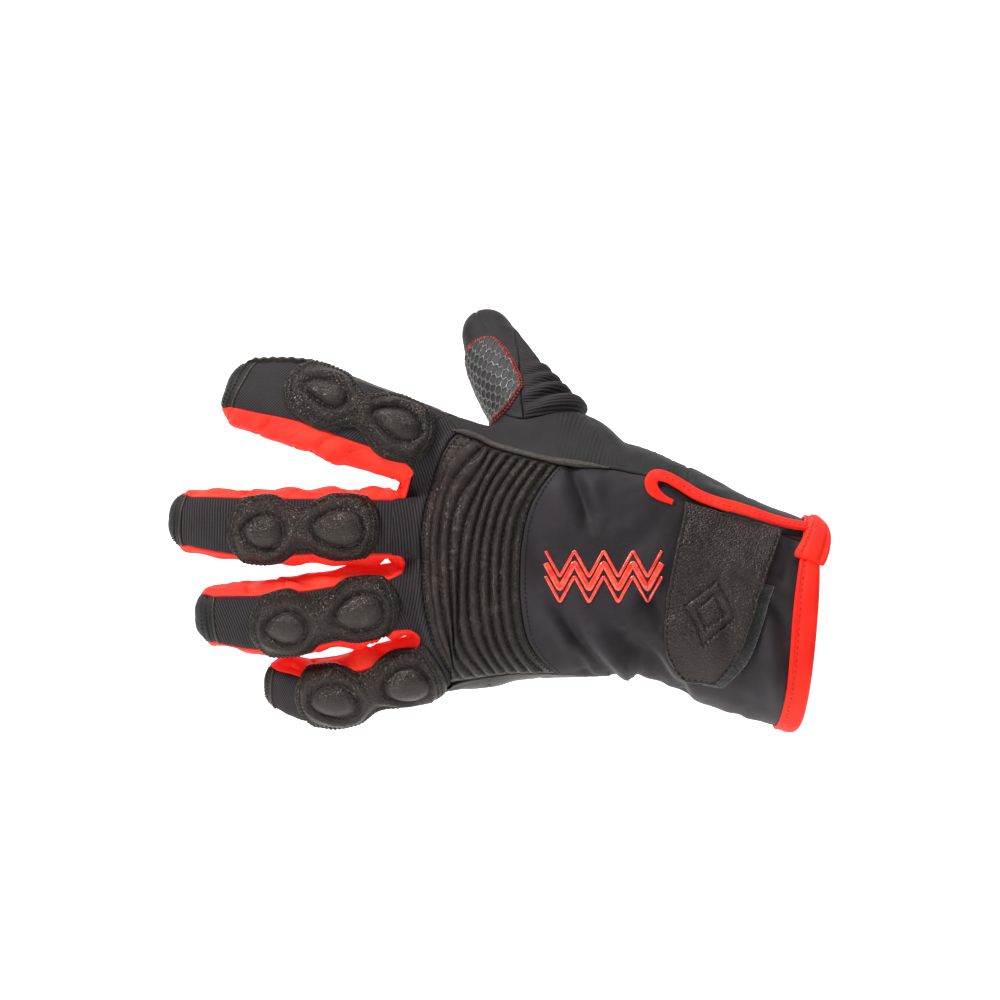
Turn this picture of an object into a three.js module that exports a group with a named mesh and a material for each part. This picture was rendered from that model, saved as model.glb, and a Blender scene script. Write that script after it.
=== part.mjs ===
// A left-hand climbing glove in the pose of a hand held out flat: fingers along -X, back of the
// hand towards -Y, thumb up along +Z. The origin is the middle of the wrist opening.
// Every wall lies on one skin: the rounded hand, finger and thumb forms run together softly. A panel
// is a patch of that skin with its own thickness, cut back a little along each seam.
import * as THREE from "three";

// Overall sizes, in millimetres
const HAND_LENGTH = 155; // from the cuff's edge to the crotches of the fingers
const HAND_BREADTH = 105; // across the knuckles
const HAND_DEPTH = 36; // through the palm
const CUFF_BREADTH = 82;
const CUFF_DEPTH = 58;
const KNUCKLE_ARCH = 4; // how far the back falls off towards its two edges
const FINGER_BREADTH = 29;
const FINGER_DEPTH = 26;
const INDEX_LENGTH = 101; // finger lengths start inside the hand, at the knuckle
const MIDDLE_LENGTH = 123;
const RING_LENGTH = 113;
const LITTLE_LENGTH = 85.5;
const THUMB_LENGTH = 101;

// Cloth, leather and seams
const CLOTH = 1.5;
const KNIT = 1.7;
const LEATHER = 1.6;
const SEAM_GAP = 0.8; // between two panels along their seam
const SIT_GAP = 0.4; // between a piece and what it is sewn on to
const ROUND_GAP = 0.9; // the same on the tight curve of a finger
const FINGER_BLEND = 6; // how softly the fingers run into the hand
const THUMB_BLEND = 14;

// Raised pieces
const RIB_COUNT = 8;
const RIB_HEIGHT = 1.8;
const RIB_MARGIN = 0.09; // share of the ribbed panel that each flat stitched margin takes
const PAD_THICKNESS = 1.7;
const PAD_LENGTH = 56;
const PAD_BREADTH = 32; // round the finger
const PAD_WAIST = 0.36; // how much narrower a pad is between its two domes
const DOME_LENGTH = 17;
const DOME_BREADTH = 12.6;
const DOME_SPACING = 27;
const DOME_HEIGHT = 3.6;
const GRIP_LENGTH = 33;
const GRIP_BREADTH = 27;
const GRIP_THICKNESS = 0.9;
const BINDING_THICKNESS = 1.3;
const BINDING_WIDTH = 8.6; // of the cuff's edge
const SLIT_BINDING_WIDTH = 4.4;
const STRAP_LENGTH = 62;
const STRAP_WIDTH = 38;
const STRAP_THICKNESS = 2.2;
const HOOK_THICKNESS = 1.2;
const PIPING_WIDTH = 2.4;
const PIPING_HEIGHT = 1.5;

// Angles round a limb, in degrees from the middle of its back
const BACK_EDGE = 52; // where a finger's knit back ends
const PALM_EDGE = 118; // where its palm side starts
const CAP_SHARE = 0.85; // where the knit gives way to the fingertip cap, from crotch to tip
const GUSSET_END = 0.95; // where the side gussets run out

const rad = THREE.MathUtils.degToRad;
const { lerp, clamp, smoothstep } = THREE.MathUtils;
const point = (x, y, z) => new THREE.Vector3(x, y, z);
const along = (from, direction, distance) => from.clone().addScaledVector(direction, distance);

// Reads a table of rows at a place between them, on a smooth curve through each row.
function readTable(rows, key, place, column) {
  let i = 0;
  while (i < rows.length - 2 && place > rows[i + 1][key]) i += 1;
  const slope = (k) => {
    const before = rows[Math.max(k - 1, 0)];
    const after = rows[Math.min(k + 1, rows.length - 1)];
    return (after[column] - before[column]) / (after[key] - before[key]);
  };
  const [a, b] = [rows[i], rows[i + 1]];
  const span = b[key] - a[key];
  const t = clamp((place - a[key]) / span, 0, 1);
  const rise = (t * t * (3 - 2 * t)) * (b[column] - a[column]);
  return a[column] + rise + span * t * (1 - t) * ((1 - t) * slope(i) - t * slope(i + 1));
}

// The hand, from the forearm side of the cuff to the knuckles. along is a share of HAND_LENGTH,
// rise of HAND_BREADTH and sink of HAND_DEPTH. broad and deep are shares of the hand's breadth and
// depth, or of the cuff's where wrist is 1.
const HAND_ROWS = [
  { along: -0.12, rise: -0.05, sink: 0.0, broad: 0.91, deep: 0.96, wrist: 1.0 },
  { along: 0.0, rise: 0.004, sink: 0.0, broad: 0.94, deep: 1.0, wrist: 1.0 },
  { along: 0.095, rise: 0.044, sink: -0.02, broad: 0.955, deep: 1.0, wrist: 0.9 },
  { along: 0.17, rise: 0.09, sink: -0.04, broad: 0.925, deep: 1.0, wrist: 0.8 },
  { along: 0.25, rise: 0.136, sink: -0.06, broad: 0.875, deep: 1.02, wrist: 0.6 },
  { along: 0.33, rise: 0.203, sink: -0.08, broad: 0.82, deep: 1.07, wrist: 0.35 },
  { along: 0.45, rise: 0.252, sink: -0.12, broad: 0.85, deep: 1.12, wrist: 0.1 },
  { along: 0.52, rise: 0.257, sink: -0.14, broad: 0.86, deep: 1.12, wrist: 0.0 },
  { along: 0.67, rise: 0.257, sink: -0.16, broad: 0.876, deep: 1.06, wrist: 0.0 },
  { along: 0.81, rise: 0.267, sink: -0.16, broad: 0.924, deep: 0.98, wrist: 0.0 },
  { along: 0.868, rise: 0.276, sink: -0.16, broad: 0.962, deep: 0.92, wrist: 0.0 },
];
const HAND_STEPS = 18;
const END_BOW = 0.5; // how much sooner the hand ends at its edges than between the middle fingers

// The middle line of each digit. along, sink and rise are shares of the digit's length, from its
// root inside the hand; broad and deep are shares of the finger's full breadth and depth. The root
// itself is given in shares of the hand's length, depth and breadth. roll turns the digit's back
// upwards, in degrees. pad is where the middle of its knuckle pad lies, from crotch to tip, and
// turn the pad's angle from the middle of the back.
const DIGITS = [
  {
    name: "index", length: INDEX_LENGTH, at: [0.803, -0.08, 0.581], roll: 26, pad: 0.26, turn: -8,
    path: [
      { along: 0.0, rise: 0.0, sink: 0.0, broad: 0.46, deep: 0.44 },
      { along: 0.17, rise: 0.075, sink: -0.03, broad: 0.52, deep: 0.46 },
      { along: 0.32, rise: 0.128, sink: -0.05, broad: 0.565, deep: 0.47 },
      { along: 0.44, rise: 0.165, sink: -0.055, broad: 0.59, deep: 0.47 },
      { along: 0.55, rise: 0.204, sink: -0.05, broad: 0.59, deep: 0.47 },
      { along: 0.7, rise: 0.257, sink: -0.03, broad: 0.6, deep: 0.45 },
      { along: 0.89, rise: 0.288, sink: 0.04, broad: 0.48, deep: 0.41 },
    ],
  },
  {
    name: "middle", length: MIDDLE_LENGTH, at: [0.803, -0.16, 0.377], roll: -3, pad: 0.34, turn: -1,
    path: [
      { along: 0.0, rise: 0.0, sink: 0.0, broad: 0.46, deep: 0.46 },
      { along: 0.14, rise: 0.0, sink: -0.01, broad: 0.47, deep: 0.48 },
      { along: 0.27, rise: 0.004, sink: -0.018, broad: 0.465, deep: 0.49 },
      { along: 0.49, rise: 0.007, sink: -0.014, broad: 0.48, deep: 0.49 },
      { along: 0.7, rise: 0.003, sink: 0.03, broad: 0.52, deep: 0.48 },
      { along: 0.83, rise: 0.012, sink: 0.068, broad: 0.48, deep: 0.45 },
      { along: 0.905, rise: 0.02, sink: 0.1, broad: 0.43, deep: 0.42 },
    ],
  },
  {
    name: "ring", length: RING_LENGTH, at: [0.803, -0.16, 0.118], roll: -14, pad: 0.32, turn: 4,
    path: [
      { along: 0.0, rise: 0.0, sink: 0.0, broad: 0.44, deep: 0.46 },
      { along: 0.155, rise: -0.004, sink: 0.0, broad: 0.445, deep: 0.47 },
      { along: 0.29, rise: -0.004, sink: -0.01, broad: 0.45, deep: 0.48 },
      { along: 0.5, rise: -0.032, sink: 0.005, broad: 0.5, deep: 0.48 },
      { along: 0.64, rise: -0.057, sink: 0.036, broad: 0.52, deep: 0.47 },
      { along: 0.78, rise: -0.066, sink: 0.077, broad: 0.5, deep: 0.45 },
      { along: 0.9, rise: -0.06, sink: 0.117, broad: 0.42, deep: 0.41 },
    ],
  },
  {
    name: "little", length: LITTLE_LENGTH, at: [0.803, -0.03, -0.09], roll: -27, pad: 0.275, turn: 14,
    path: [
      { along: 0.0, rise: 0.0, sink: 0.0, broad: 0.4, deep: 0.42 },
      { along: 0.15, rise: -0.02, sink: -0.012, broad: 0.41, deep: 0.43 },
      { along: 0.38, rise: -0.07, sink: 0.0, broad: 0.41, deep: 0.44 },
      { along: 0.52, rise: -0.12, sink: 0.024, broad: 0.435, deep: 0.44 },
      { along: 0.655, rise: -0.16, sink: 0.053, broad: 0.47, deep: 0.43 },
      { along: 0.79, rise: -0.165, sink: 0.1, broad: 0.44, deep: 0.41 },
      { along: 0.89, rise: -0.14, sink: 0.14, broad: 0.38, deep: 0.38 },
    ],
  },
];
const THUMB = {
  name: "thumb", length: THUMB_LENGTH, at: [0.439, 0.167, 0.4286], roll: 90,
  path: [
    { along: 0.0, rise: 0.0, sink: 0.0, broad: 0.5, deep: 0.56 },
    { along: 0.119, rise: 0.099, sink: 0.02, broad: 0.56, deep: 0.62 },
    { along: 0.257, rise: 0.228, sink: 0.06, broad: 0.6, deep: 0.62 },
    { along: 0.347, rise: 0.36, sink: 0.109, broad: 0.58, deep: 0.6 },
    { along: 0.386, rise: 0.418, sink: 0.149, broad: 0.54, deep: 0.58 },
    { along: 0.454, rise: 0.498, sink: 0.208, broad: 0.49, deep: 0.54 },
    { along: 0.503, rise: 0.595, sink: 0.277, broad: 0.44, deep: 0.49 },
    { along: 0.55, rise: 0.728, sink: 0.356, broad: 0.37, deep: 0.41 },
  ],
};
const DIGIT_STEPS = 18;

// One cross-section of a limb: its centre, the directions to its side, its back and its tip, and
// its half breadth and half depth.
const station = (centre, side, back, broad, deep) => ({
  centre, side, back, ahead: back.clone().cross(side), broad, deep,
});

function handAt(share) {
  const read = (column) => readTable(HAND_ROWS, "along", share, column);
  const wrist = read("wrist");
  const centre = point(-share * HAND_LENGTH, read("sink") * HAND_DEPTH, read("rise") * HAND_BREADTH);
  const nearby = 0.02;
  const climb = readTable(HAND_ROWS, "along", share + nearby, "rise") -
    readTable(HAND_ROWS, "along", share - nearby, "rise");
  const ahead = point(-2 * nearby * HAND_LENGTH, 0, climb * HAND_BREADTH).normalize();
  const back = point(0, -1, 0);
  return station(
    centre, ahead.cross(back), back,
    read("broad") * lerp(HAND_BREADTH, CUFF_BREADTH, wrist) / 2,
    read("deep") * lerp(HAND_DEPTH, CUFF_DEPTH, wrist) / 2,
  );
}

function digitStations({ length, at, roll, path }) {
  const root = point(-at[0] * HAND_LENGTH, at[1] * HAND_DEPTH, at[2] * HAND_BREADTH);
  const end = path.at(-1).along;
  const centreAt = (along) => point(
    -along, readTable(path, "along", along, "sink"), readTable(path, "along", along, "rise"),
  ).multiplyScalar(length).add(root);
  return Array.from({ length: DIGIT_STEPS + 1 }, (_, i) => {
    const share = end * i / DIGIT_STEPS;
    const ahead = centreAt(Math.min(share + 0.02, end)).sub(centreAt(Math.max(share - 0.02, 0)));
    ahead.normalize();
    const level = point(0, -1, 0).addScaledVector(ahead, ahead.y).normalize();
    const across = ahead.clone().cross(level);
    const back = along(level.multiplyScalar(Math.cos(rad(roll))), across, Math.sin(rad(roll)));
    return station(
      centreAt(share), ahead.cross(back), back,
      FINGER_BREADTH * readTable(path, "along", share, "broad"),
      FINGER_DEPTH * readTable(path, "along", share, "deep"),
    );
  });
}

// A limb is its stations with a ball round them, so that far limbs are passed over quickly.
function limbOf(stations, arch, bow) {
  const box = new THREE.Box3().setFromPoints(stations.map((s) => s.centre));
  const ball = box.getBoundingSphere(new THREE.Sphere());
  ball.radius += Math.max(...stations.map((s) => Math.max(s.broad, s.deep)));
  const end = stations.at(-1);
  const straight = stations.slice(1).reduce((sum, s, i) =>
    sum + s.centre.distanceTo(stations[i].centre), 0);
  return { stations, arch, bow, ball, straight, round: Math.min(end.broad, end.deep) };
}

const handShares = Array.from({ length: HAND_STEPS + 1 }, (_, i) =>
  lerp(HAND_ROWS[0].along, HAND_ROWS.at(-1).along, i / HAND_STEPS));
const hand = limbOf(handShares.map(handAt), KNUCKLE_ARCH, END_BOW);
const fingers = DIGITS.map((digit) => limbOf(digitStations(digit), 0, 0));
const thumb = limbOf(digitStations(THUMB), 0, 0);

const between = new THREE.Vector3();
const offset = new THREE.Vector3();

// How far a place lies outside a limb, about in millimetres: the rounded slab round the nearest
// stretch of its stations.
function limbField(limb, place) {
  const { stations, arch, bow } = limb;
  let best = Infinity;
  for (let i = 0; i < stations.length - 1; i += 1) {
    const [a, b] = [stations[i], stations[i + 1]];
    between.subVectors(b.centre, a.centre);
    offset.subVectors(place, a.centre);
    const t = clamp(offset.dot(between) / between.lengthSq(), 0, 1);
    offset.addScaledVector(between, -t);
    const broad = lerp(a.broad, b.broad, t);
    const deep = lerp(a.deep, b.deep, t);
    const aside = lerp(offset.dot(a.side), offset.dot(b.side), t);
    const share = Math.min(Math.abs(aside) / broad, 1.2);
    const up = lerp(offset.dot(a.back), offset.dot(b.back), t) + arch * share * share;
    const beyond = lerp(offset.dot(a.ahead), offset.dot(b.ahead), t) * (1 + bow * share * share);
    const out = Math.max(Math.abs(aside) - Math.max(broad - deep, 0), 0);
    const over = Math.max(Math.abs(up) - Math.max(deep - broad, 0), 0);
    best = Math.min(best, Math.hypot(out, over, beyond) - Math.min(broad, deep));
  }
  return best;
}

function softMin(a, b, blend) {
  const near = Math.max(blend - Math.abs(a - b), 0) / blend;
  return Math.min(a, b) - near * near * blend / 4;
}

// The glove's skin is where this is 0. It is negative inside.
function field(place) {
  const farOff = FINGER_BLEND + THUMB_BLEND;
  const digits = fingers.reduce((least, finger) => {
    const clear = finger.ball.distanceToPoint(place);
    return clear > Math.min(least, 1e6) + farOff ? least : Math.min(least, limbField(finger, place));
  }, 1e6);
  const whole = softMin(limbField(hand, place), digits, FINGER_BLEND);
  const clear = thumb.ball.distanceToPoint(place);
  return clear > Math.abs(whole) + farOff ? whole : softMin(whole, limbField(thumb, place), THUMB_BLEND);
}

const NORMAL_STEP = 0.8;
function gradient(place) {
  return point(...["x", "y", "z"].map((axis) => {
    const [low, high] = [place.clone(), place.clone()];
    low[axis] -= NORMAL_STEP;
    high[axis] += NORMAL_STEP;
    return (field(high) - field(low)) / (2 * NORMAL_STEP);
  }));
}

// The skin where a ray from a place meets it, from inside or outside.
function cast(origin, direction) {
  const ray = direction.clone().normalize();
  const place = origin.clone();
  for (let i = 0; i < 80; i += 1) {
    const gap = field(place);
    if (Math.abs(gap) < 1e-3) break;
    place.addScaledVector(ray, Math.abs(gap) * 0.85);
  }
  return place;
}

// The skin nearest to a guess.
function settle(guess) {
  const place = guess.clone();
  for (let i = 0; i < 12; i += 1) {
    const slope = gradient(place);
    place.addScaledVector(slope, -0.9 * field(place) / Math.max(slope.lengthSq(), 0.2));
  }
  return place;
}

// A place on the hand by its share of the length and its turn: the share of the way round from the
// middle of the back (0) past the thumb's side to the middle of the palm (1), or past the other
// side (-1).
function onHand(share, turn) {
  const { centre, side, back, broad, deep } = handAt(share);
  const flat = Math.max(broad - deep, 0);
  const halfWay = 2 * flat + Math.PI * deep;
  const sign = turn < 0 ? -1 : 1;
  const way = Math.abs(turn) * halfWay;
  const angle = clamp((way - flat) / deep, 0, Math.PI);
  const out = Math.min(way, flat, halfWay - way);
  const aim = back.clone().multiplyScalar(Math.cos(angle)).addScaledVector(side, sign * Math.sin(angle));
  return cast(along(centre, side, sign * out), aim);
}

function handTurn(place) {
  const { centre, side, back, broad, deep } = handAt(clamp(-place.x / HAND_LENGTH, 0, 0.96));
  const away = place.clone().sub(centre);
  const flat = Math.max(broad - deep, 0);
  const out = Math.abs(away.dot(side));
  const angle = Math.atan2(Math.max(out - flat, 0), away.dot(back));
  const way = angle > 0 ? flat + deep * angle : out;
  return Math.sign(away.dot(side)) * way / (2 * flat + Math.PI * deep);
}

// A place on a digit by its share of the way from root to tip, measured over the rounded tip, and
// its angle from the middle of its back.
const TIP_LEFT = 0.985; // the panels stop this share of the way round the tip
const wayOf = (limb) => limb.straight + limb.round * Math.PI / 2;
function onDigit(limb, share, degrees) {
  const { stations, straight, round } = limb;
  const way = clamp(share, 0, TIP_LEFT) * wayOf(limb);
  let i = 0;
  let left = Math.min(way, straight);
  const step = (k) => stations[k + 1].centre.distanceTo(stations[k].centre);
  while (i < stations.length - 2 && left > step(i)) {
    left -= step(i);
    i += 1;
  }
  const [a, b, t] = [stations[i], stations[i + 1], clamp(left / step(i), 0, 1)];
  const mix = (key) => a[key].clone().lerp(b[key], t);
  const angle = rad(degrees);
  const out = mix("back").multiplyScalar(Math.cos(angle)).addScaledVector(mix("side"), Math.sin(angle));
  const lean = Math.max(way - straight, 0) / round;
  const aim = out.multiplyScalar(Math.cos(lean)).addScaledVector(mix("ahead"), Math.sin(lean));
  return cast(mix("centre"), aim);
}

// Small gathers and folds of the cloth. A fold runs between two ends given as shares of the hand's
// length and breadth; height and width are shares of HAND_DEPTH.
const BACK_FOLDS = [
  { from: [0.585, 0.6], to: [0.56, 0.39], height: -0.05, width: 0.085 },
  { from: [0.66, 0.12], to: [0.55, -0.14], height: 0.045, width: 0.1 },
  { from: [0.61, 0.08], to: [0.5, -0.15], height: -0.06, width: 0.08 },
  { from: [0.56, 0.02], to: [0.41, -0.2], height: 0.07, width: 0.13 },
  { from: [0.45, 0.0], to: [0.34, -0.2], height: -0.06, width: 0.1 },
  { from: [0.37, -0.02], to: [0.27, -0.26], height: 0.05, width: 0.1 },
  { from: [0.23, 0.1], to: [0.16, -0.28], height: -0.06, width: 0.11 },
  { from: [0.12, 0.2], to: [0.07, -0.3], height: 0.05, width: 0.12 },
];
// Gathers round the thumb's knit: share of its length, then height and width in millimetres.
const THUMB_GATHERS = [
  { share: 0.5, height: 2.6, width: 3.6 },
  { share: 0.565, height: -1.4, width: 2.2 },
  { share: 0.62, height: 1.5, width: 3.0 },
  { share: 0.685, height: -1.0, width: 2.0 },
  { share: 0.74, height: 1.0, width: 2.6 },
];
const PUCKER = 0.9;
const PUCKERS = 5; // along one side of a gusset

// The folds die away towards the cuff's binding, the ribbed panel and the palm.
function foldRelief(place) {
  const here = [-place.x / HAND_LENGTH, place.z / HAND_BREADTH];
  const calm = smoothstep(here[0], 0.05, 0.12) * (1 - smoothstep(here[0], 0.6, 0.68)) *
    (1 - smoothstep(place.y / HAND_DEPTH, 0.1, 0.6));
  return calm * BACK_FOLDS.reduce((sum, { from, to, height, width }) => {
    const run = [(to[0] - from[0]) * HAND_LENGTH, (to[1] - from[1]) * HAND_BREADTH];
    const off = [(here[0] - from[0]) * HAND_LENGTH, (here[1] - from[1]) * HAND_BREADTH];
    const t = clamp((off[0] * run[0] + off[1] * run[1]) / (run[0] ** 2 + run[1] ** 2), 0, 1);
    const away = Math.hypot(off[0] - t * run[0], off[1] - t * run[1]) / (width * HAND_DEPTH);
    return sum + height * HAND_DEPTH * Math.exp(-away * away) * Math.sin(Math.PI * lerp(0.1, 0.9, t));
  }, 0);
}

// A closed solid between two height functions over a patch of skin. place(s, t) gives the skin for
// s and t from 0 to 1, lower and upper give heights above it, and gap is left free all round.
function patch(rows, columns, place, lower, upper, gap = SEAM_GAP) {
  const skin = [];
  for (let i = 0; i <= rows; i += 1) {
    skin.push(Array.from({ length: columns + 1 }, (_, j) => place(i / rows, j / columns)));
  }
  const drawIn = (edge, inner) => {
    const way = inner.clone().sub(edge);
    edge.addScaledVector(way, Math.min(gap / 2 / Math.max(way.length(), 1e-6), 0.45));
  };
  for (let j = 0; j <= columns; j += 1) {
    drawIn(skin[0][j], skin[1][j]);
    drawIn(skin[rows][j], skin[rows - 1][j]);
  }
  for (const row of skin) {
    drawIn(row[0], row[1]);
    drawIn(row[columns], row[columns - 1]);
  }
  const layer = (height) => skin.flatMap((row, i) => row.map((p, j) =>
    along(p, gradient(p).normalize(), height(i / rows, j / columns, p))));
  const places = [...layer(upper), ...layer(lower)];
  const wide = columns + 1;
  const below = (rows + 1) * wide;
  const faces = [];
  const quad = (a, b, c, d) => faces.push(a, b, c, a, c, d);
  for (let i = 0; i < rows; i += 1) {
    for (let j = 0; j < columns; j += 1) {
      const a = i * wide + j;
      quad(a, a + 1, a + 1 + wide, a + wide);
      quad(below + a, below + a + wide, below + a + 1 + wide, below + a + 1);
    }
  }
  const rim = [
    ...Array.from({ length: columns }, (_, j) => j),
    ...Array.from({ length: rows }, (_, i) => i * wide + columns),
    ...Array.from({ length: columns }, (_, j) => rows * wide + columns - j),
    ...Array.from({ length: rows }, (_, i) => (rows - i) * wide),
  ];
  rim.forEach((a, k) => {
    const b = rim[(k + 1) % rim.length];
    quad(b, a, below + a, below + b);
  });
  return closedGeometry(places, faces);
}

// The closed mesh of places and faces, turned so that its faces point out.
function closedGeometry(places, faces) {
  let volume = 0;
  for (let k = 0; k < faces.length; k += 3) {
    const [a, b, c] = [0, 1, 2].map((n) => places[faces[k + n]]);
    volume += a.dot(b.clone().cross(c));
  }
  const index = volume < 0 ? faces.slice().reverse() : faces;
  const geometry = new THREE.BufferGeometry();
  geometry.setAttribute("position", new THREE.Float32BufferAttribute(places.flatMap((p) => p.toArray()), 3));
  geometry.setIndex(index);
  geometry.computeVertexNormals();
  return geometry;
}

const finish = (color, roughness) => new THREE.MeshStandardMaterial({ color, roughness, metalness: 0 });
const MATERIALS = {
  knit: finish(0x262527, 0.9),
  shell: finish(0x2b2a2d, 0.75),
  leather: finish(0x1f1c1b, 0.5),
  palmLeather: finish(0x232122, 0.6),
  red: finish(0xf2301c, 0.65),
  grip: finish(0x1b1b1c, 0.35),
  hook: finish(0x0e0e0f, 1.0),
};

const glove = new THREE.Group();
function add(name, geometry, material) {
  const mesh = new THREE.Mesh(geometry, material);
  mesh.name = name;
  glove.add(mesh);
}
const walled = (thickness, relief = () => 0) => [
  (s, t, p) => relief(s, t, p) - thickness,
  (s, t, p) => relief(s, t, p),
];
const laidOn = (thickness, base = () => 0) => [
  (s, t, p) => base(p) + SIT_GAP,
  (s, t, p) => base(p) + SIT_GAP + thickness,
];

// Where each finger's panels start, on its upper and lower side, as a share of its length: level
// with the crotch there. The crotches are shares of HAND_LENGTH.
const CROTCHES = [0.93, 1.03, 1.03, 0.985, 0.93];
function shareAt(limb, x) {
  const { stations } = limb;
  let way = 0;
  for (let i = 0; i < stations.length - 1; i += 1) {
    const [a, b] = [stations[i].centre, stations[i + 1].centre];
    if (b.x < x) return (way + a.distanceTo(b) * (a.x - x) / (a.x - b.x)) / wayOf(limb);
    way += a.distanceTo(b);
  }
  return 0.5;
}
const fingerStarts = fingers.map((limb, i) => ({
  upper: shareAt(limb, -CROTCHES[i] * HAND_LENGTH),
  lower: shareAt(limb, -CROTCHES[i + 1] * HAND_LENGTH),
}));

// The angles at which a finger's gusset starts and ends, closing up towards the tip.
const backEdge = (q) => lerp(BACK_EDGE, 90, smoothstep(q, 0.8, 0.97));
const palmEdge = (q) => lerp(PALM_EDGE, 90, smoothstep(q, 0.72, 0.97));

// A place on finger i at q from crotch to tip and r from its upper (0) to its lower (1) side.
function onFinger(i, q, r, degrees) {
  const { upper, lower } = fingerStarts[i];
  return onDigit(fingers[i], lerp(lerp(upper, lower, r), 1, q), degrees);
}

const BACK_COLUMNS = 4;
const PALM_COLUMNS = 4;
const KNIT_ROWS = 8;
const CAP_ROWS = 4;
const TURN_ROWS = 4; // round a crotch

const onBack = (i, q, r) => onFinger(i, q, r, lerp(backEdge(q), -backEdge(q), r));
// The outer fingers' palm sides run round to the back on their free side.
function onPalmSide(i, q, r) {
  const upperEdge = i === 0 ? backEdge(q) : palmEdge(q);
  const lowerEdge = i === fingers.length - 1 ? backEdge(q) : palmEdge(q);
  return onFinger(i, q, r, lerp(upperEdge, 360 - lowerEdge, r));
}
const rowsToTip = (k, first, count, end) => first + (end - first) * (k / count);

function makeFingers() {
  DIGITS.forEach(({ name }, i) => {
    add(`${name}_knit_back`, patch(KNIT_ROWS, BACK_COLUMNS, (s, t) => onBack(i, s * CAP_SHARE, t),
      ...walled(KNIT)), MATERIALS.knit);
    add(`${name}_tip_cap`, patch(CAP_ROWS, BACK_COLUMNS,
      (s, t) => onBack(i, lerp(CAP_SHARE, 1, s), t), ...walled(CLOTH)), MATERIALS.palmLeather);
    add(`${name}_palm_side`, patch(KNIT_ROWS + CAP_ROWS, PALM_COLUMNS, (s, t) => {
      const k = Math.round(s * (KNIT_ROWS + CAP_ROWS));
      const q = k <= KNIT_ROWS ? rowsToTip(k, 0, KNIT_ROWS, CAP_SHARE)
        : rowsToTip(k - KNIT_ROWS, CAP_SHARE, CAP_ROWS, 1);
      return onPalmSide(i, q, t);
    }, ...walled(LEATHER)), MATERIALS.palmLeather);
  });
}

// A gusset runs down the lower side of one finger, round the crotch and up the next finger.
const GUSSET_TIP_ROWS = 2;
const SIDE_ROWS = KNIT_ROWS + GUSSET_TIP_ROWS;
function gussetPlace(i, s, t) {
  const total = 2 * SIDE_ROWS + TURN_ROWS;
  const k = s * total;
  const fromTurn = Math.max(SIDE_ROWS - k, k - SIDE_ROWS - TURN_ROWS, 0);
  const q = fromTurn <= KNIT_ROWS ? rowsToTip(fromTurn, 0, KNIT_ROWS, CAP_SHARE)
    : rowsToTip(fromTurn - KNIT_ROWS, CAP_SHARE, GUSSET_TIP_ROWS, GUSSET_END);
  const angle = lerp(backEdge(q), palmEdge(q), t);
  if (k <= SIDE_ROWS) return onFinger(i, q, 1, -angle);
  if (k >= SIDE_ROWS + TURN_ROWS) return onFinger(i + 1, q, 0, angle);
  const from = onFinger(i, 0, 1, -angle);
  const to = onFinger(i + 1, 0, 0, angle);
  const turn = (k - SIDE_ROWS) / TURN_ROWS;
  const inward = from.distanceTo(to) * 0.45 * Math.sin(Math.PI * turn);
  return settle(from.lerp(to, turn).add(point(inward, 0, 0)));
}
const GUSSETS = ["index_middle_gusset", "middle_ring_gusset", "ring_little_gusset"];
function makeGussets() {
  GUSSETS.forEach((name, i) => {
    const relief = (s, t) => -PUCKER * Math.sin(Math.PI * PUCKERS * s * 2) ** 2 *
      Math.sin(Math.PI * t) * smoothstep(Math.abs(s - 0.5), 0.1, 0.2) *
      (1 - smoothstep(Math.abs(s - 0.5), 0.42, 0.5));
    add(name, patch(2 * SIDE_ROWS + TURN_ROWS, 3, (s, t) => gussetPlace(i, s, t),
      ...walled(CLOTH, relief)), MATERIALS.red);
  });
}

// The line of the finger roots from the index side to the little finger's side, over the back
// (edge 0) or over the palm (edge 1), at k from 0 to the number of columns.
const rootColumns = (perFinger) => fingers.length * perFinger + (fingers.length - 1) * TURN_ROWS;
function rootLine(k, perFinger, onSide, edge) {
  const stretch = perFinger + TURN_ROWS;
  const i = Math.min(Math.floor(k / stretch), fingers.length - 1);
  const within = k - i * stretch;
  if (within <= perFinger) return onSide(i, 0, within / perFinger);
  const s = (SIDE_ROWS + within - perFinger) / (2 * SIDE_ROWS + TURN_ROWS);
  return gussetPlace(i, s, edge);
}

// Edges of the panels on the hand, as turns, and of the ribbed panel, as shares of HAND_LENGTH.
const HAND_EDGES = [
  { along: -0.05, top: 0.35, low: -0.6 },
  { along: 0.13, top: 0.31, low: -0.6 },
  { along: 0.24, top: 0.293, low: -0.6 },
  { along: 0.34, top: 0.285, low: -0.58 },
  { along: 0.45, top: 0.305, low: -0.53 },
  { along: 0.55, top: 0.315, low: -0.5 },
  { along: 0.7, top: 0.35, low: -0.46 },
  { along: 0.9, top: 0.42, low: -0.46 },
];
const RIB_EDGES = [
  { turn: -0.46, start: 0.865, end: 0.62 },
  { turn: -0.25, start: 0.937, end: 0.695 },
  { turn: 0.0, start: 0.96, end: 0.716 },
  { turn: 0.18, start: 0.945, end: 0.695 },
  { turn: 0.33, start: 0.905, end: 0.625 },
  { turn: 0.42, start: 0.875, end: 0.575 },
];
const topTurn = (share) => readTable(HAND_EDGES, "along", share, "top");
const lowTurn = (share) => readTable(HAND_EDGES, "along", share, "low");
const ribStart = (turn) => readTable(RIB_EDGES, "turn", turn, "start");
const ribEnd = (turn) => readTable(RIB_EDGES, "turn", turn, "end");
const CUFF_SLANT = 0.044; // the cuff is cut this share of HAND_LENGTH back at its upper side
const cuffEdge = (turn) => CUFF_SLANT * Math.sin(Math.PI * turn);
const WALL_END = 0.013; // the walls stop just inside the cuff's binding
const wallEnd = (turn) => WALL_END + cuffEdge(turn);

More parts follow.
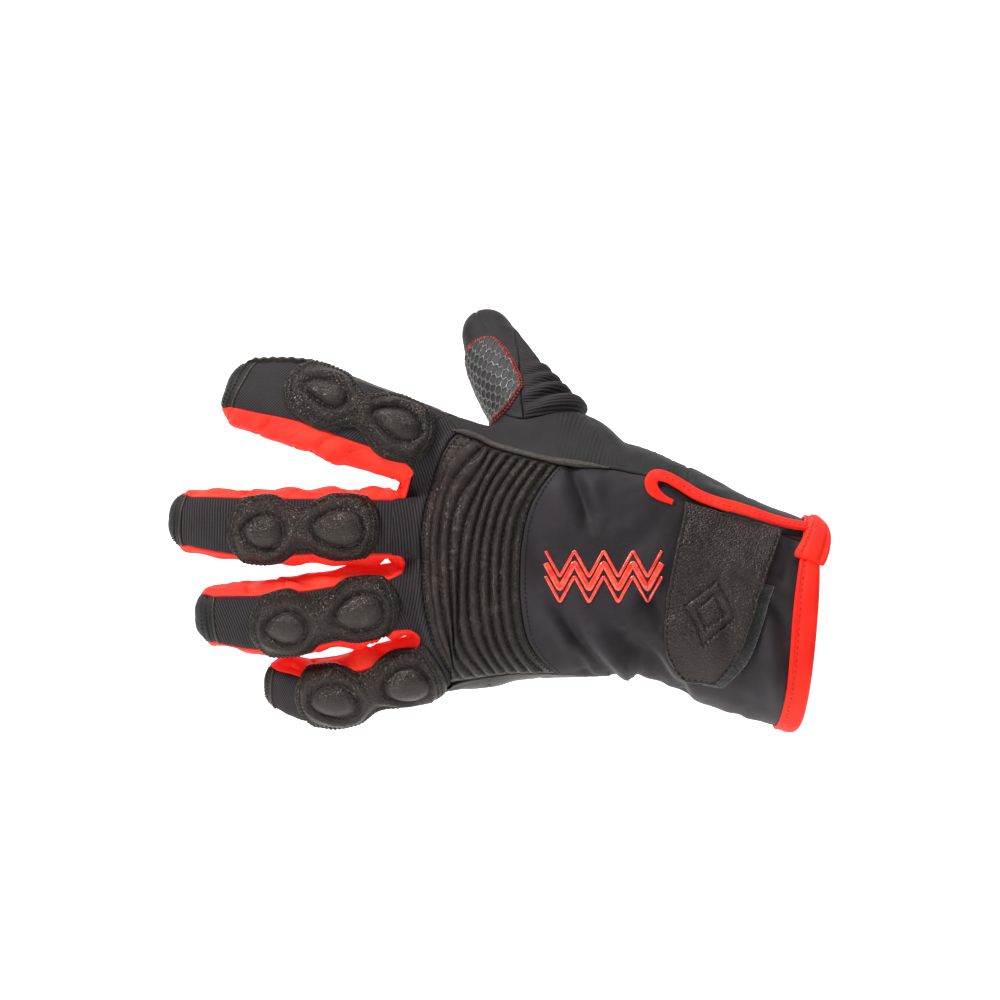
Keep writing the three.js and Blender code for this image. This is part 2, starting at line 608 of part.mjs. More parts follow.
// A place on the back between two edges: s from the finger side, t from the top edge down.
function onBackOfHand(start, end, s, t) {
  let share = 0.5 * (start(0) + end(0));
  let turn = 0;
  for (let i = 0; i < 5; i += 1) {
    turn = lerp(topTurn(share), lowTurn(share), t);
    share = lerp(start(turn), end(turn), s);
  }
  return onHand(share, turn);
}

// The same, with the lower edge on the palm's faceted seam.
function onBackPanel(start, end, s, t) {
  const place = onBackOfHand(start, end, s, t);
  return t === 1 && place.x < lowKnots.at(-1).x ? onLowSeam(place.x) : place;
}

const RIB_STEPS = 3;
const PANEL_COLUMNS = 10; // of the ribbed panel and the shell, from edge to edge
function makeBack() {
  const columns = rootColumns(BACK_COLUMNS);
  const roots = Array.from({ length: columns + 1 }, (_, k) => rootLine(k, BACK_COLUMNS, onBack, 0));
  const ribbedEdge = chordal(PANEL_COLUMNS, (t) => onBackOfHand(ribStart, ribStart, 0, t));
  add("knuckle_knit", patch(3, columns, (s, t) => {
    const from = roots[Math.round(t * columns)];
    const turn = handTurn(from);
    const down = clamp((topTurn(0.9) - turn) / (topTurn(0.9) - lowTurn(0.9)), 0, 1);
    const to = ribbedEdge(t === 0 ? 0 : t === 1 ? 1 : down);
    if (s === 0 || s === 1) return s === 0 ? from.clone() : to;
    return settle(from.clone().lerp(to, s));
  }, ...walled(KNIT)), MATERIALS.knit);

  const ribRows = RIB_COUNT * RIB_STEPS + 2;
  const ribPlace = (k) => (k === 0 ? 0 : k === ribRows ? 1
    : lerp(RIB_MARGIN, 1 - RIB_MARGIN, (k - 1) / (RIB_COUNT * RIB_STEPS)));
  const ribbed = (s, t) => {
    const k = Math.round(s * ribRows) - 1;
    const flat = k < 0 || k > RIB_COUNT * RIB_STEPS || k % RIB_STEPS === 0 || t === 0 || t === 1;
    return flat ? 0 : RIB_HEIGHT;
  };
  add("ribbed_knuckle_panel", patch(ribRows, PANEL_COLUMNS, (s, t) =>
    onBackPanel(ribStart, ribEnd, ribPlace(Math.round(s * ribRows)), t),
  ...walled(LEATHER, ribbed)), MATERIALS.leather);

  add("back_shell", patch(14, PANEL_COLUMNS, (s, t) => onBackPanel(ribEnd, wallEnd, s, t),
    ...walled(CLOTH, (s, t, p) => foldRelief(p) * (1 - smoothstep(t, 0.9, 1)))), MATERIALS.shell);
}

// The thumb's root seam: its share of the thumb's length at an angle round the thumb.
const THUMB_ROOT = 0.47;
const THUMB_SLANT = 0.02;
const onThumb = (q, degrees) => onDigit(thumb,
  lerp(THUMB_ROOT - THUMB_SLANT * Math.cos(rad(degrees)), 1, q), degrees);
// The knit covers the thumb's back from this angle, towards the camera side, to KNIT_TO.
const KNIT_EDGE = [
  { way: 0.0, angle: -108 },
  { way: 0.2, angle: -85 },
  { way: 0.42, angle: -60 },
  { way: 0.7, angle: -72 },
  { way: 1.0, angle: -90 },
];
const KNIT_TO = 74;
const knitFrom = (q) => readTable(KNIT_EDGE, "way", q, "angle");
const SIDE_TURN = 0.62; // the side panel meets the palm here, on the wrist side of the thumb
const WRIST_AT = 0.44; // share of HAND_LENGTH where that seam leaves the thumb

function gatherRelief(q, degrees) {
  const share = lerp(THUMB_ROOT, 1, q);
  const facing = smoothstep(Math.cos(rad(degrees + 30)), -0.2, 0.7);
  return facing * THUMB_GATHERS.reduce((sum, g) =>
    sum + g.height * Math.exp(-(((share - g.share) * THUMB_LENGTH / g.width) ** 2)), 0);
}

function makeThumb() {
  const ease = (q) => smoothstep(q, 0, 0.06);
  add("thumb_knit_back", patch(14, 6, (s, t) => onThumb(s, lerp(KNIT_TO, knitFrom(s), t)),
    ...walled(KNIT, (s, t) => ease(s) * gatherRelief(s, lerp(KNIT_TO, knitFrom(s), t)) *
      Math.sin(Math.PI * t) ** 0.5)), MATERIALS.knit);
  add("thumb_palm_side", patch(12, 7, (s, t) => onThumb(s, lerp(KNIT_TO, 360 + knitFrom(s), t)),
    ...walled(LEATHER)), MATERIALS.palmLeather);
}

// The seam between the side panel and the palm runs from the index finger over the web, round
// the thumb's root and on to the cuff. The side panel takes the front of the root, the palm the
// rest. s runs from the index finger to the cuff.
const SEAM_ROWS = 13;
const THUMB_FROM = 2 / SEAM_ROWS;
const THUMB_TO = 6 / SEAM_ROWS;
const START_AT = 0.868;
const WEB_SWELL = 0.085; // the bulge of the side panel, as a share of its width
const WEB_GAP = 2.8; // the web between thumb and finger folds sharply and needs wider seams
const PALM_GAP = 1.6;
const acrossFront = (t) => lerp(-180, 0, t);
const acrossPalm = (t) => lerp(180, 0, t);
function sideSeam(s, aroundThumb) {
  if (s < THUMB_FROM) {
    const [start, root] = [onBack(0, 0, 0), onThumb(0, 180)];
    const t = s / THUMB_FROM;
    return settle(start.lerp(root, t));
  }
  if (s > THUMB_TO) {
    const t = (s - THUMB_TO) / (1 - THUMB_TO);
    const edge = onHand(lerp(WRIST_AT, wallEnd(SIDE_TURN), t), SIDE_TURN);
    return settle(onThumb(0, 0).lerp(edge, smoothstep(t, -0.1, 0.25)));
  }
  return onThumb(0, aroundThumb((s - THUMB_FROM) / (THUMB_TO - THUMB_FROM)));
}

// The seam along the little finger's side, from that finger's root to the cuff.
function lowSeam(s) {
  const root = onBack(fingers.length - 1, 0, 1);
  let share = -root.x / HAND_LENGTH;
  const reach = share;
  for (let i = 0; i < 4; i += 1) share = lerp(reach, wallEnd(lowTurn(share)), s);
  return onHand(share, lerp(handTurn(root), lowTurn(share), smoothstep(s, 0, 0.12)));
}

// The skin between two of its places, bulging out from the straight line as the hand does.
function spanSkin(from, to, t, swell = 0.16) {
  const outward = gradient(from).add(gradient(to)).normalize();
  const bulge = swell * from.distanceTo(to) * Math.sin(Math.PI * t);
  return settle(from.clone().lerp(to, t).addScaledVector(outward, bulge));
}

// The seam's polyline at a distance along the hand.
const lowKnots = Array.from({ length: SEAM_ROWS + 1 }, (_, k) =>
  (k < SEAM_ROWS ? lowSeam(k / SEAM_ROWS) : onHand(wallEnd(lowTurn(0)), lowTurn(0))));
function onLowSeam(x) {
  let k = 0;
  while (k < SEAM_ROWS - 1 && lowKnots[k + 1].x < x) k += 1;
  const [a, b] = [lowKnots[k], lowKnots[k + 1]];
  return a.clone().lerp(b, (x - a.x) / (b.x - a.x));
}

const atCuff = (turn) => onHand(wallEnd(turn), turn);
const palmTurn = (across) => (across < 0.5 ? lerp(SIDE_TURN, 1, 2 * across)
  : lerp(-1, lowTurn(WALL_END), 2 * across - 1));

// A polyline through a few places of a curve, so that two panels can share one faceted edge.
function chordal(count, curve) {
  const made = Array.from({ length: count + 1 }, (_, k) => curve(k / count));
  return (t) => {
    const k = Math.min(Math.floor(t * count), count - 1);
    return made[k].clone().lerp(made[k + 1], t * count - k);
  };
}

function makeSides() {
  add("thumb_side_panel", patch(SEAM_ROWS, 5, (s, t) => {
    if (s === 1) return atCuff(lerp(topTurn(WALL_END), SIDE_TURN, t));
    const from = onBackOfHand(ribStart, wallEnd, s, 0);
    const to = sideSeam(s, acrossFront);
    if (t === 0 || t === 1) return t === 0 ? from : to;
    return spanSkin(from, to, t, WEB_SWELL);
  }, ...walled(CLOTH), WEB_GAP), MATERIALS.knit);

  const columns = rootColumns(PALM_COLUMNS);
  const roots = Array.from({ length: columns + 1 }, (_, k) => rootLine(k, PALM_COLUMNS, onPalmSide, 1));
  const [top, low] = [roots[0].z, roots[columns].z];
  add("palm", patch(SEAM_ROWS, columns, (s, t) => {
    const from = roots[Math.round(t * columns)];
    const across = clamp(lerp(t, (top - from.z) / (top - low), 0.8), 0, 1);
    if (s === 0) return from.clone();
    if (s === 1) return atCuff(palmTurn(across));
    const edge = across < 0.5 ? sideSeam(s, acrossPalm) : lowSeam(s);
    if (t === 0 || t === 1) return edge;
    const middle = onHand(lerp(START_AT, wallEnd(1), s), 1);
    const near = spanSkin(edge, middle, 1 - Math.abs(2 * across - 1));
    const blend = smoothstep(s, -0.02, lerp(0.15, 0.24, Math.min(4 * across, 1)));
    return settle(from.clone().lerp(near, blend));
  }, ...walled(LEATHER), PALM_GAP), MATERIALS.palmLeather);
}

const GRIP_AT = 0.64; // of the thumb's way from root to tip
const GRIP_TURN = -140;
const TAB_AT = [0.062, 0.325]; // share of HAND_LENGTH and turn
const TAB_HALF = [0.042, 0.08];

// A place in a rounded oval for s and t from 0 to 1, as offsets from -1 to 1 along and across.
function inOval(s, t, squareness = 0) {
  const [u, v] = [2 * s - 1, 2 * t - 1];
  const round = 0.5 * (1 - squareness);
  return [u * Math.sqrt(1 - round * v * v), v * Math.sqrt(1 - round * u * u)];
}

// A place on a digit at an offset in millimetres from a share of its way and an angle.
function besideDigit(limb, share, degrees, alongWay, acrossWay) {
  const { stations } = limb;
  const near = stations[Math.round(clamp(share, 0, 1) * (stations.length - 1))];
  const radius = 0.52 * (near.broad + near.deep);
  return onDigit(limb, share + alongWay / wayOf(limb), degrees + THREE.MathUtils.radToDeg(acrossWay / radius));
}

function makePads() {
  const domeBase = ROUND_GAP + PAD_THICKNESS + SIT_GAP;
  DIGITS.forEach(({ name, pad, turn }, i) => {
    const { upper, lower } = fingerStarts[i];
    const middle = lerp((upper + lower) / 2, 1, pad);
    add(`${name}_knuckle_pad`, patch(12, 4, (s, t) => {
      const [u, v] = inOval(s, t, 0.35);
      const waist = 1 - PAD_WAIST * Math.exp(-((u / 0.26) ** 2));
      return besideDigit(fingers[i], middle, turn, u * PAD_LENGTH / 2, v * waist * PAD_BREADTH / 2);
    }, () => ROUND_GAP, () => ROUND_GAP + PAD_THICKNESS, 0), MATERIALS.leather);
    [1, -1].forEach((end) => {
      add(`${name}_${end > 0 ? "outer" : "inner"}_dome`, patch(4, 4, (s, t) => {
        const [u, v] = inOval(s, t);
        return besideDigit(fingers[i], middle, turn,
          end * DOME_SPACING / 2 + u * DOME_LENGTH / 2, v * DOME_BREADTH / 2);
      }, () => domeBase, (s, t) => {
        const rim = Math.max(Math.abs(2 * s - 1), Math.abs(2 * t - 1));
        return domeBase + DOME_HEIGHT * (1 - 0.72 * rim ** 3);
      }, 0), MATERIALS.leather);
    });
  });
  add("thumb_grip_patch", patch(8, 6, (s, t) => {
    const [u, v] = inOval(s, t, 0.3);
    return besideDigit(thumb, GRIP_AT, GRIP_TURN, u * GRIP_LENGTH / 2, v * GRIP_BREADTH / 2);
  }, () => ROUND_GAP, () => ROUND_GAP + GRIP_THICKNESS, 0), MATERIALS.grip);
}

// A place on the back of the hand straight behind a point of the front view.
const onFront = (along, up) => cast(
  point(-along * HAND_LENGTH, handAt(clamp(along, -0.1, 0.86)).centre.y, up * HAND_BREADTH),
  point(0, -1, 0),
);

// The strap and the hook strip under it. The strap hangs from along STRAP_AT[0] and up STRAP_AT[1],
// turned STRAP_LEAN degrees. down is a share of its length, left and right of its width.
const STRAP_AT = [0.19, 0.372];
const STRAP_LEAN = 9.7;
const STRAP_ROWS = [
  { down: 0.0, left: -0.5, right: 0.5 },
  { down: 0.35, left: -0.51, right: 0.4 },
  { down: 0.6, left: -0.51, right: 0.355 },
  { down: 0.78, left: -0.45, right: 0.3 },
  { down: 0.9, left: -0.33, right: 0.22 },
  { down: 1.0, left: -0.12, right: 0.1 },
];
const STRAP_SKEW = 0.065; // its top end is cut along the slit
function onStrap(down, across) {
  const c = Math.cos(rad(STRAP_LEAN));
  const s = Math.sin(rad(STRAP_LEAN));
  const over = across * STRAP_WIDTH;
  const fall = down * STRAP_LENGTH + STRAP_SKEW * (1 - down) * over * 2;
  const x = -STRAP_AT[0] * HAND_LENGTH + c * over - s * fall;
  const z = STRAP_AT[1] * HAND_BREADTH - s * over - c * fall;
  return onFront(-x / HAND_LENGTH, z / HAND_BREADTH);
}
const strapEdge = (down, side) => readTable(STRAP_ROWS, "down", down, side);
const HOOK_FROM = 0.3;
const HOOK_SHOWS = 0.12; // how far the hook strip stands out beside the strap, of its width
const STRAP_LIFT = HOOK_THICKNESS + SIT_GAP;
const CLOTH_GAP = 0.9; // under the strap, where the shell is folded

function makeStrap() {
  const lift = (s) => CLOTH_GAP + STRAP_LIFT * smoothstep(s, -0.1, 0.25);
  add("wrist_strap", patch(12, 5, (s, t) => {
    const down = s < 0.5 ? lerp(0, 0.7, s * 2) : lerp(0.7, 1, s * 2 - 1);
    return onStrap(down, lerp(strapEdge(down, "left"), strapEdge(down, "right"), t));
  }, (s, t, p) => foldRelief(p) + lift(s), (s, t, p) => foldRelief(p) + lift(s) + STRAP_THICKNESS, 0),
  MATERIALS.leather);
  add("strap_hook_strip", patch(8, 2, (s, t) => {
    const down = lerp(HOOK_FROM, 0.99, s);
    const right = strapEdge(down, "right");
    return onStrap(down * 1.03, lerp(right - 0.3 * (1 - 0.6 * s), right + HOOK_SHOWS, t));
  }, (s, t, p) => foldRelief(p) + CLOTH_GAP, (s, t, p) => foldRelief(p) + CLOTH_GAP + HOOK_THICKNESS, 0),
  MATERIALS.hook);
}

// Long strips: the leather edge over the ribs, the slit's binding and the cuff's binding.
const PIPING_FROM = 0.885;
const PIPING_TO = 0.5;
const SLIT_FROM = 0.44;
const SLIT_TO = 0.1;
const TURN_WIDTH = 118; // about half the way round the hand, in millimetres
function alongTop(share, offset) {
  return onHand(share, topTurn(share) + offset / TURN_WIDTH);
}

// The binding's height below and above the skin, from its edge on the cloth to the cuff's end.
const CUFF_STRIP = [
  { back: 1.0, under: 1 },
  { back: 0.5, under: 1 },
  { back: 0.14, under: 1 },
  { back: 0.1, under: 0 },
  { back: 0.0, under: 0 },
];
const CUFF_COLUMNS = 30;
const CUFF_GAP = 0.7;
function makeStrips() {
  add("leather_piping", patch(16, 1, (s, t) =>
    alongTop(lerp(PIPING_FROM, PIPING_TO, s), lerp(1, -1, t) * PIPING_WIDTH / 2),
  ...laidOn(PIPING_HEIGHT), 0), MATERIALS.leather);
  add("slit_binding", patch(14, 2, (s, t) =>
    alongTop(lerp(SLIT_FROM, SLIT_TO, s), lerp(1, -1, t) * SLIT_BINDING_WIDTH / 2),
  ...laidOn(BINDING_THICKNESS, foldRelief), 0), MATERIALS.red);
  const rows = CUFF_STRIP.length - 1;
  const rowOf = (s) => CUFF_STRIP[Math.round(s * rows)];
  const start = topTurn(0) - 0.02;
  add("cuff_binding", patch(rows, CUFF_COLUMNS, (s, t) => {
    const turn = start - t * 1.96;
    const wrapped = turn < -1 ? turn + 2 : turn;
    return onHand(cuffEdge(wrapped) + rowOf(s).back * BINDING_WIDTH / HAND_LENGTH, wrapped);
  }, (s) => (rowOf(s).under ? CUFF_GAP : -LEATHER - SIT_GAP), () => CUFF_GAP + BINDING_THICKNESS, 0),
  MATERIALS.red);
  const tabBase = CUFF_GAP + BINDING_THICKNESS + SIT_GAP;
  add("cuff_corner_tab", patch(3, 3, (s, t) => {
    const [u, v] = inOval(s, t, 0.5);
    return onHand(TAB_AT[0] - u * TAB_HALF[0], TAB_AT[1] - v * TAB_HALF[1]);
  }, () => tabBase, () => tabBase + BINDING_THICKNESS, 0), MATERIALS.red);
}

makeFingers();
makeGussets();
makeBack();
makeThumb();
makeSides();
makePads();
makeStrap();
makeStrips();

export default glove;
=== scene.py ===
"""A left-hand climbing glove, held out flat with its back to the camera.

Fingers point along -X, the back of the hand faces -Y and the thumb stands up along +Z. The origin
is the middle of the wrist opening. Lengths in the tables and functions are millimetres.
"""

import bpy
import numpy as np
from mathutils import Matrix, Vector


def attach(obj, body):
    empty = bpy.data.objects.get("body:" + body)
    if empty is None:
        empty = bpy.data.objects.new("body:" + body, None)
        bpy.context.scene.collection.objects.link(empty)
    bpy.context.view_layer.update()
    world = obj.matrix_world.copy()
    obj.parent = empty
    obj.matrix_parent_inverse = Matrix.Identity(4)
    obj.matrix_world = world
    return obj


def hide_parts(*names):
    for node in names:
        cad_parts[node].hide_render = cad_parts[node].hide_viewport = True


bl_info = {
    "name": "Climbing glove",
    "version": (1, 0, 0),
    "blender": (4, 5, 0),
    "location": "View3D > Sidebar > Glove",
    "description": "Builds the panels, pads, bindings and stitching of a climbing glove",
    "category": "Add Mesh",
}

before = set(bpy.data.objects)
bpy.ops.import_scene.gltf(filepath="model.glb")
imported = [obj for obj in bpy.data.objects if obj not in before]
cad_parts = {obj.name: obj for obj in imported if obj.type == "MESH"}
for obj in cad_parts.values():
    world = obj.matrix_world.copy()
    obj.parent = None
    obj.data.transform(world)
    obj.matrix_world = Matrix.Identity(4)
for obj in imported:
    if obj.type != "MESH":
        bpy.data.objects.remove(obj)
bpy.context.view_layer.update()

# Overall sizes
HAND_LENGTH = 155
HAND_BREADTH = 105
HAND_DEPTH = 36
CUFF_BREADTH = 82
CUFF_DEPTH = 58
KNUCKLE_ARCH = 4
END_BOW = 0.5
FINGER_BREADTH = 29
FINGER_DEPTH = 26
FINGER_BLEND = 6
THUMB_BLEND = 14

# Cloth and leather
CLOTH = 1.5
KNIT = 1.7
LEATHER = 1.6
RIB_COUNT = 8
RIB_MARGIN = 0.09
PAD_LENGTH = 56
PAD_BREADTH = 32
PAD_WAIST = 0.45
DOME_SPACING = 27
GRIP_LENGTH = 36
GRIP_BREADTH = 33
BINDING_WIDTH = 8.6
STRAP_LENGTH = 59
STRAP_WIDTH = 38

# The hand: along (share of its length), rise (of its breadth), sink (of its depth), then the
# shares of its breadth and depth, and how far they are the cuff's instead.
HAND_ROWS = [
    (-0.12, -0.05, 0.0, 0.91, 0.96, 1.0),
    (0.0, 0.004, 0.0, 0.94, 1.0, 1.0),
    (0.095, 0.044, -0.02, 0.955, 1.0, 0.9),
    (0.17, 0.09, -0.04, 0.925, 1.0, 0.8),
    (0.25, 0.136, -0.06, 0.875, 1.02, 0.6),
    (0.33, 0.203, -0.08, 0.82, 1.07, 0.35),
    (0.45, 0.252, -0.12, 0.85, 1.12, 0.1),
    (0.52, 0.257, -0.14, 0.86, 1.12, 0.0),
    (0.67, 0.257, -0.16, 0.876, 1.06, 0.0),
    (0.81, 0.267, -0.16, 0.924, 0.98, 0.0),
    (0.868, 0.276, -0.16, 0.962, 0.92, 0.0),
]

# Each digit: name, length, where its root lies in the hand (shares of length, depth and breadth),
# the roll of its back, the place and turn of its knuckle pad, and its path: along, rise and sink
# as shares of its length, then shares of the finger's breadth and depth.
DIGITS = [
    ("index", 101, (0.803, -0.08, 0.581), 26, 0.26, -8, [
        (0.0, 0.0, 0.0, 0.46, 0.44), (0.17, 0.075, -0.03, 0.52, 0.46),
        (0.32, 0.128, -0.05, 0.565, 0.47), (0.44, 0.165, -0.055, 0.59, 0.47),
        (0.55, 0.204, -0.05, 0.59, 0.47), (0.7, 0.257, -0.03, 0.6, 0.45),
        (0.89, 0.288, 0.04, 0.48, 0.41)]),
    ("middle", 123, (0.803, -0.16, 0.377), -3, 0.34, -1, [
        (0.0, 0.0, 0.0, 0.46, 0.46), (0.14, 0.0, -0.01, 0.47, 0.48),
        (0.27, 0.004, -0.018, 0.465, 0.49), (0.49, 0.007, -0.014, 0.48, 0.49),
        (0.7, 0.003, 0.03, 0.52, 0.48), (0.83, 0.012, 0.068, 0.48, 0.45),
        (0.905, 0.02, 0.1, 0.43, 0.42)]),
    ("ring", 113, (0.803, -0.16, 0.118), -14, 0.32, 4, [
        (0.0, 0.0, 0.0, 0.44, 0.46), (0.155, -0.004, 0.0, 0.445, 0.47),
        (0.29, -0.004, -0.01, 0.45, 0.48), (0.5, -0.032, 0.005, 0.5, 0.48),
        (0.64, -0.057, 0.036, 0.52, 0.47), (0.78, -0.066, 0.077, 0.5, 0.45),
        (0.9, -0.06, 0.117, 0.42, 0.41)]),
    ("little", 85.5, (0.803, -0.03, -0.09), -27, 0.275, 14, [
        (0.0, 0.0, 0.0, 0.4, 0.42), (0.15, -0.02, -0.012, 0.41, 0.43),
        (0.38, -0.07, 0.0, 0.41, 0.44), (0.52, -0.12, 0.024, 0.435, 0.44),
        (0.655, -0.16, 0.053, 0.47, 0.43), (0.79, -0.165, 0.1, 0.44, 0.41),
        (0.89, -0.14, 0.14, 0.38, 0.38)]),
]
THUMB = ("thumb", 101, (0.439, 0.167, 0.4286), 90, 0, 0, [
    (0.0, 0.0, 0.0, 0.5, 0.56), (0.119, 0.099, 0.02, 0.56, 0.62), (0.257, 0.228, 0.06, 0.6, 0.62),
    (0.357, 0.36, 0.109, 0.62, 0.6), (0.398, 0.425, 0.149, 0.57, 0.58),
    (0.454, 0.51, 0.208, 0.5, 0.54), (0.503, 0.6, 0.277, 0.44, 0.49),
    (0.55, 0.7, 0.34, 0.36, 0.4)])

CROTCHES = (0.93, 1.03, 1.03, 0.985, 0.93)
BACK_EDGE = 52
PALM_EDGE = 118
CAP_SHARE = 0.85
GUSSET_END = 0.97

# Panel edges on the hand: share of its length, turn of the upper edge, turn of the lower edge.
HAND_EDGES = [
    (-0.05, 0.35, -0.6), (0.13, 0.31, -0.6), (0.24, 0.293, -0.6), (0.34, 0.295, -0.58),
    (0.45, 0.32, -0.54), (0.55, 0.335, -0.47), (0.7, 0.375, -0.435), (0.9, 0.42, -0.46),
]
# The ribbed panel: turn, share of the length where it starts, where it ends.
RIB_EDGES = [
    (-0.46, 0.865, 0.62), (-0.25, 0.937, 0.695), (0.0, 0.96, 0.716), (0.18, 0.945, 0.695),
    (0.33, 0.905, 0.625), (0.42, 0.875, 0.575),
]
CUFF_SLANT = 0.044
WALL_END = 0.013


# Numbers on a smooth curve or at random, and the glove's skin

def read_table(rows, place, column):
    """The column at a place: a cubic through each row, level with the line between its neighbours."""
    table = np.array(rows, float)
    key, value = table[:, 0], table[:, column]
    last = len(key) - 1
    at = np.arange(last + 1)
    before, after = np.maximum(at - 1, 0), np.minimum(at + 1, last)
    slope = (value[after] - value[before]) / (key[after] - key[before])
    place = np.asarray(place, float)
    i = np.clip(np.searchsorted(key, place, side="left") - 1, 0, last - 1)
    span = key[i + 1] - key[i]
    t = np.clip((place - key[i]) / span, 0, 1)
    rise = t * t * (3 - 2 * t) * (value[i + 1] - value[i])
    return value[i] + rise + span * t * (1 - t) * ((1 - t) * slope[i] - t * slope[i + 1])


def smooth(x, low, high):
    """0 below low, 1 above high, and 3t^2 - 2t^3 between."""
    t = np.clip((np.asarray(x, float) - low) / (high - low), 0, 1)
    return t * t * (3 - 2 * t)


def mix(a, b, t):
    """a at t 0, b at t 1, in a straight line."""
    return a + (b - a) * t


def unit(v):
    """The vectors, each divided by its length."""
    return v / np.maximum(np.linalg.norm(v, axis=-1, keepdims=True), 1e-9)


def ripple(p, wave, seed):
    """Smooth unevenness from about -1 to 1: the mean of nine sine waves in seeded directions."""
    rng = np.random.default_rng(seed)
    total = 0
    for _ in range(9):
        way = unit(rng.normal(size=3)) * rng.uniform(0.7, 1.5) / wave
        total = total + np.sin(2 * np.pi * (p @ way) + rng.uniform(0, 6.283))
    return total / 4.2


def crease(p, wave, seed):
    """Sharp-bottomed folds from 0 to 1: the size of ripple, bent so that its zero is a crease."""
    return np.abs(ripple(p, wave, seed)) ** 0.7


class Limb:
    """A row of oval sections: centres, directions to side, back and ahead, half breadth and depth."""

    def __init__(self, centre, side, back, broad, deep, arch=0.0, bow=0.0):
        self.centre, self.side, self.back = centre, side, back
        self.ahead = np.cross(back, side)
        self.broad, self.deep, self.arch, self.bow = broad, deep, arch, bow
        self.steps = np.linalg.norm(np.diff(centre, axis=0), axis=1)
        self.straight = self.steps.sum()
        self.round = min(broad[-1], deep[-1])
        self.way = self.straight + self.round * np.pi / 2
        self.middle = (centre.min(0) + centre.max(0)) / 2
        self.reach = np.linalg.norm(centre - self.middle, axis=1).max() + max(broad.max(), deep.max())

    def away(self, p):
        """Distance outside the ball round the limb."""
        return np.linalg.norm(p - self.middle, axis=1) - self.reach

    def field(self, p):
        """Distance outside the rounded slab round the nearest stretch of sections."""
        a, b = slice(0, -1), slice(1, None)
        step = self.centre[b] - self.centre[a]
        off = p[:, None, :] - self.centre[None, a]
        t = np.clip((off * step).sum(2) / (step * step).sum(1), 0, 1)
        off = off - t[:, :, None] * step
        broad, deep = (mix(x[a], x[b], t) for x in (self.broad, self.deep))
        aside, up, beyond = (
            mix(np.einsum("nki,ki->nk", off, x[a]), np.einsum("nki,ki->nk", off, x[b]), t)
            for x in (self.side, self.back, self.ahead))
        share = np.minimum(np.abs(aside) / broad, 1.2)
        up = up + self.arch * share * share
        beyond = beyond * (1 + self.bow * share * share)
        out = np.maximum(np.abs(aside) - np.maximum(broad - deep, 0), 0)
        over = np.maximum(np.abs(up) - np.maximum(deep - broad, 0), 0)
        return (np.sqrt(out * out + over * over + beyond * beyond) - np.minimum(broad, deep)).min(1)


def hand_section(share):
    """Centre, side, back, half breadth and half depth of the hand at shares of its length."""
    share = np.atleast_1d(np.asarray(share, float))
    rise, sink, broad, deep, wrist = (read_table(HAND_ROWS, share, c) for c in range(1, 6))
    centre = np.stack([-share * HAND_LENGTH, sink * HAND_DEPTH, rise * HAND_BREADTH], -1)
    climb = read_table(HAND_ROWS, share + 0.02, 1) - read_table(HAND_ROWS, share - 0.02, 1)
    ahead = unit(np.stack([np.full_like(share, -0.04 * HAND_LENGTH), 0 * share, climb * HAND_BREADTH], -1))
    back = np.broadcast_to(np.array([0.0, -1.0, 0.0]), centre.shape)
    return (centre, np.cross(ahead, back), back,
            broad * mix(HAND_BREADTH, CUFF_BREADTH, wrist) / 2, deep * mix(HAND_DEPTH, CUFF_DEPTH, wrist) / 2)


def digit_limb(digit):
    """A finger's limb along its path, its back rolled about it."""
    _, length, at, roll, _, _, path = digit
    root = np.array([-at[0] * HAND_LENGTH, at[1] * HAND_DEPTH, at[2] * HAND_BREADTH])
    end = path[-1][0]

    def centre_at(along):
        return root + length * np.stack([-along, read_table(path, along, 2), read_table(path, along, 1)], -1)

    share = end * np.linspace(0, 1, 19)
    ahead = unit(centre_at(np.minimum(share + 0.02, end)) - centre_at(np.maximum(share - 0.02, 0)))
    level = unit(np.array([0.0, -1.0, 0.0]) + ahead * ahead[:, 1:2])
    back = level * np.cos(np.radians(roll)) + np.cross(ahead, level) * np.sin(np.radians(roll))
    return Limb(centre_at(share), np.cross(ahead, back), back,
                FINGER_BREADTH * read_table(path, share, 3), FINGER_DEPTH * read_table(path, share, 4))


HAND = Limb(*hand_section(np.linspace(HAND_ROWS[0][0], HAND_ROWS[-1][0], 19)), KNUCKLE_ARCH, END_BOW)
FINGERS = [digit_limb(d) for d in DIGITS]
THUMB_LIMB = digit_limb(THUMB)


def soft_min(a, b, blend):
    """The smaller of two, rounded off where they are within blend of each other."""
    near = np.maximum(blend - np.abs(a - b), 0) / blend
    return np.minimum(a, b) - near * near * blend / 4


def far_or_field(limb, p, skip):
    """The limb's field, or the distance to its ball where that is more than skip."""
    value = limb.away(p)
    near = value < skip
    if near.any():
        value[near] = limb.field(p[near])
    return value


def field(p):
    """The glove's skin is where this is 0; it is negative inside."""
    digits = np.full(len(p), 1e6)
    for finger in FINGERS:
        digits = np.minimum(digits, far_or_field(finger, p, 22))
    whole = soft_min(HAND.field(p), digits, FINGER_BLEND)
    return soft_min(whole, far_or_field(THUMB_LIMB, p, 22), THUMB_BLEND)


def slope_at(p, step=0.8):
    """The field's gradient by central differences."""
    out = np.empty_like(p)
    for axis in range(3):
        shift = np.zeros(3)
        shift[axis] = step
        out[:, axis] = (field(p + shift) - field(p - shift)) / (2 * step)
    return out


def cast(origin, aim):
    """Where rays from the origins meet the skin."""
    ray = unit(aim)
    p = np.array(origin, float)
    for _ in range(40):
        gap = np.abs(field(p))
        if gap.max() < 2e-3:
            break
        p = p + ray * (0.85 * gap)[:, None]
    return p


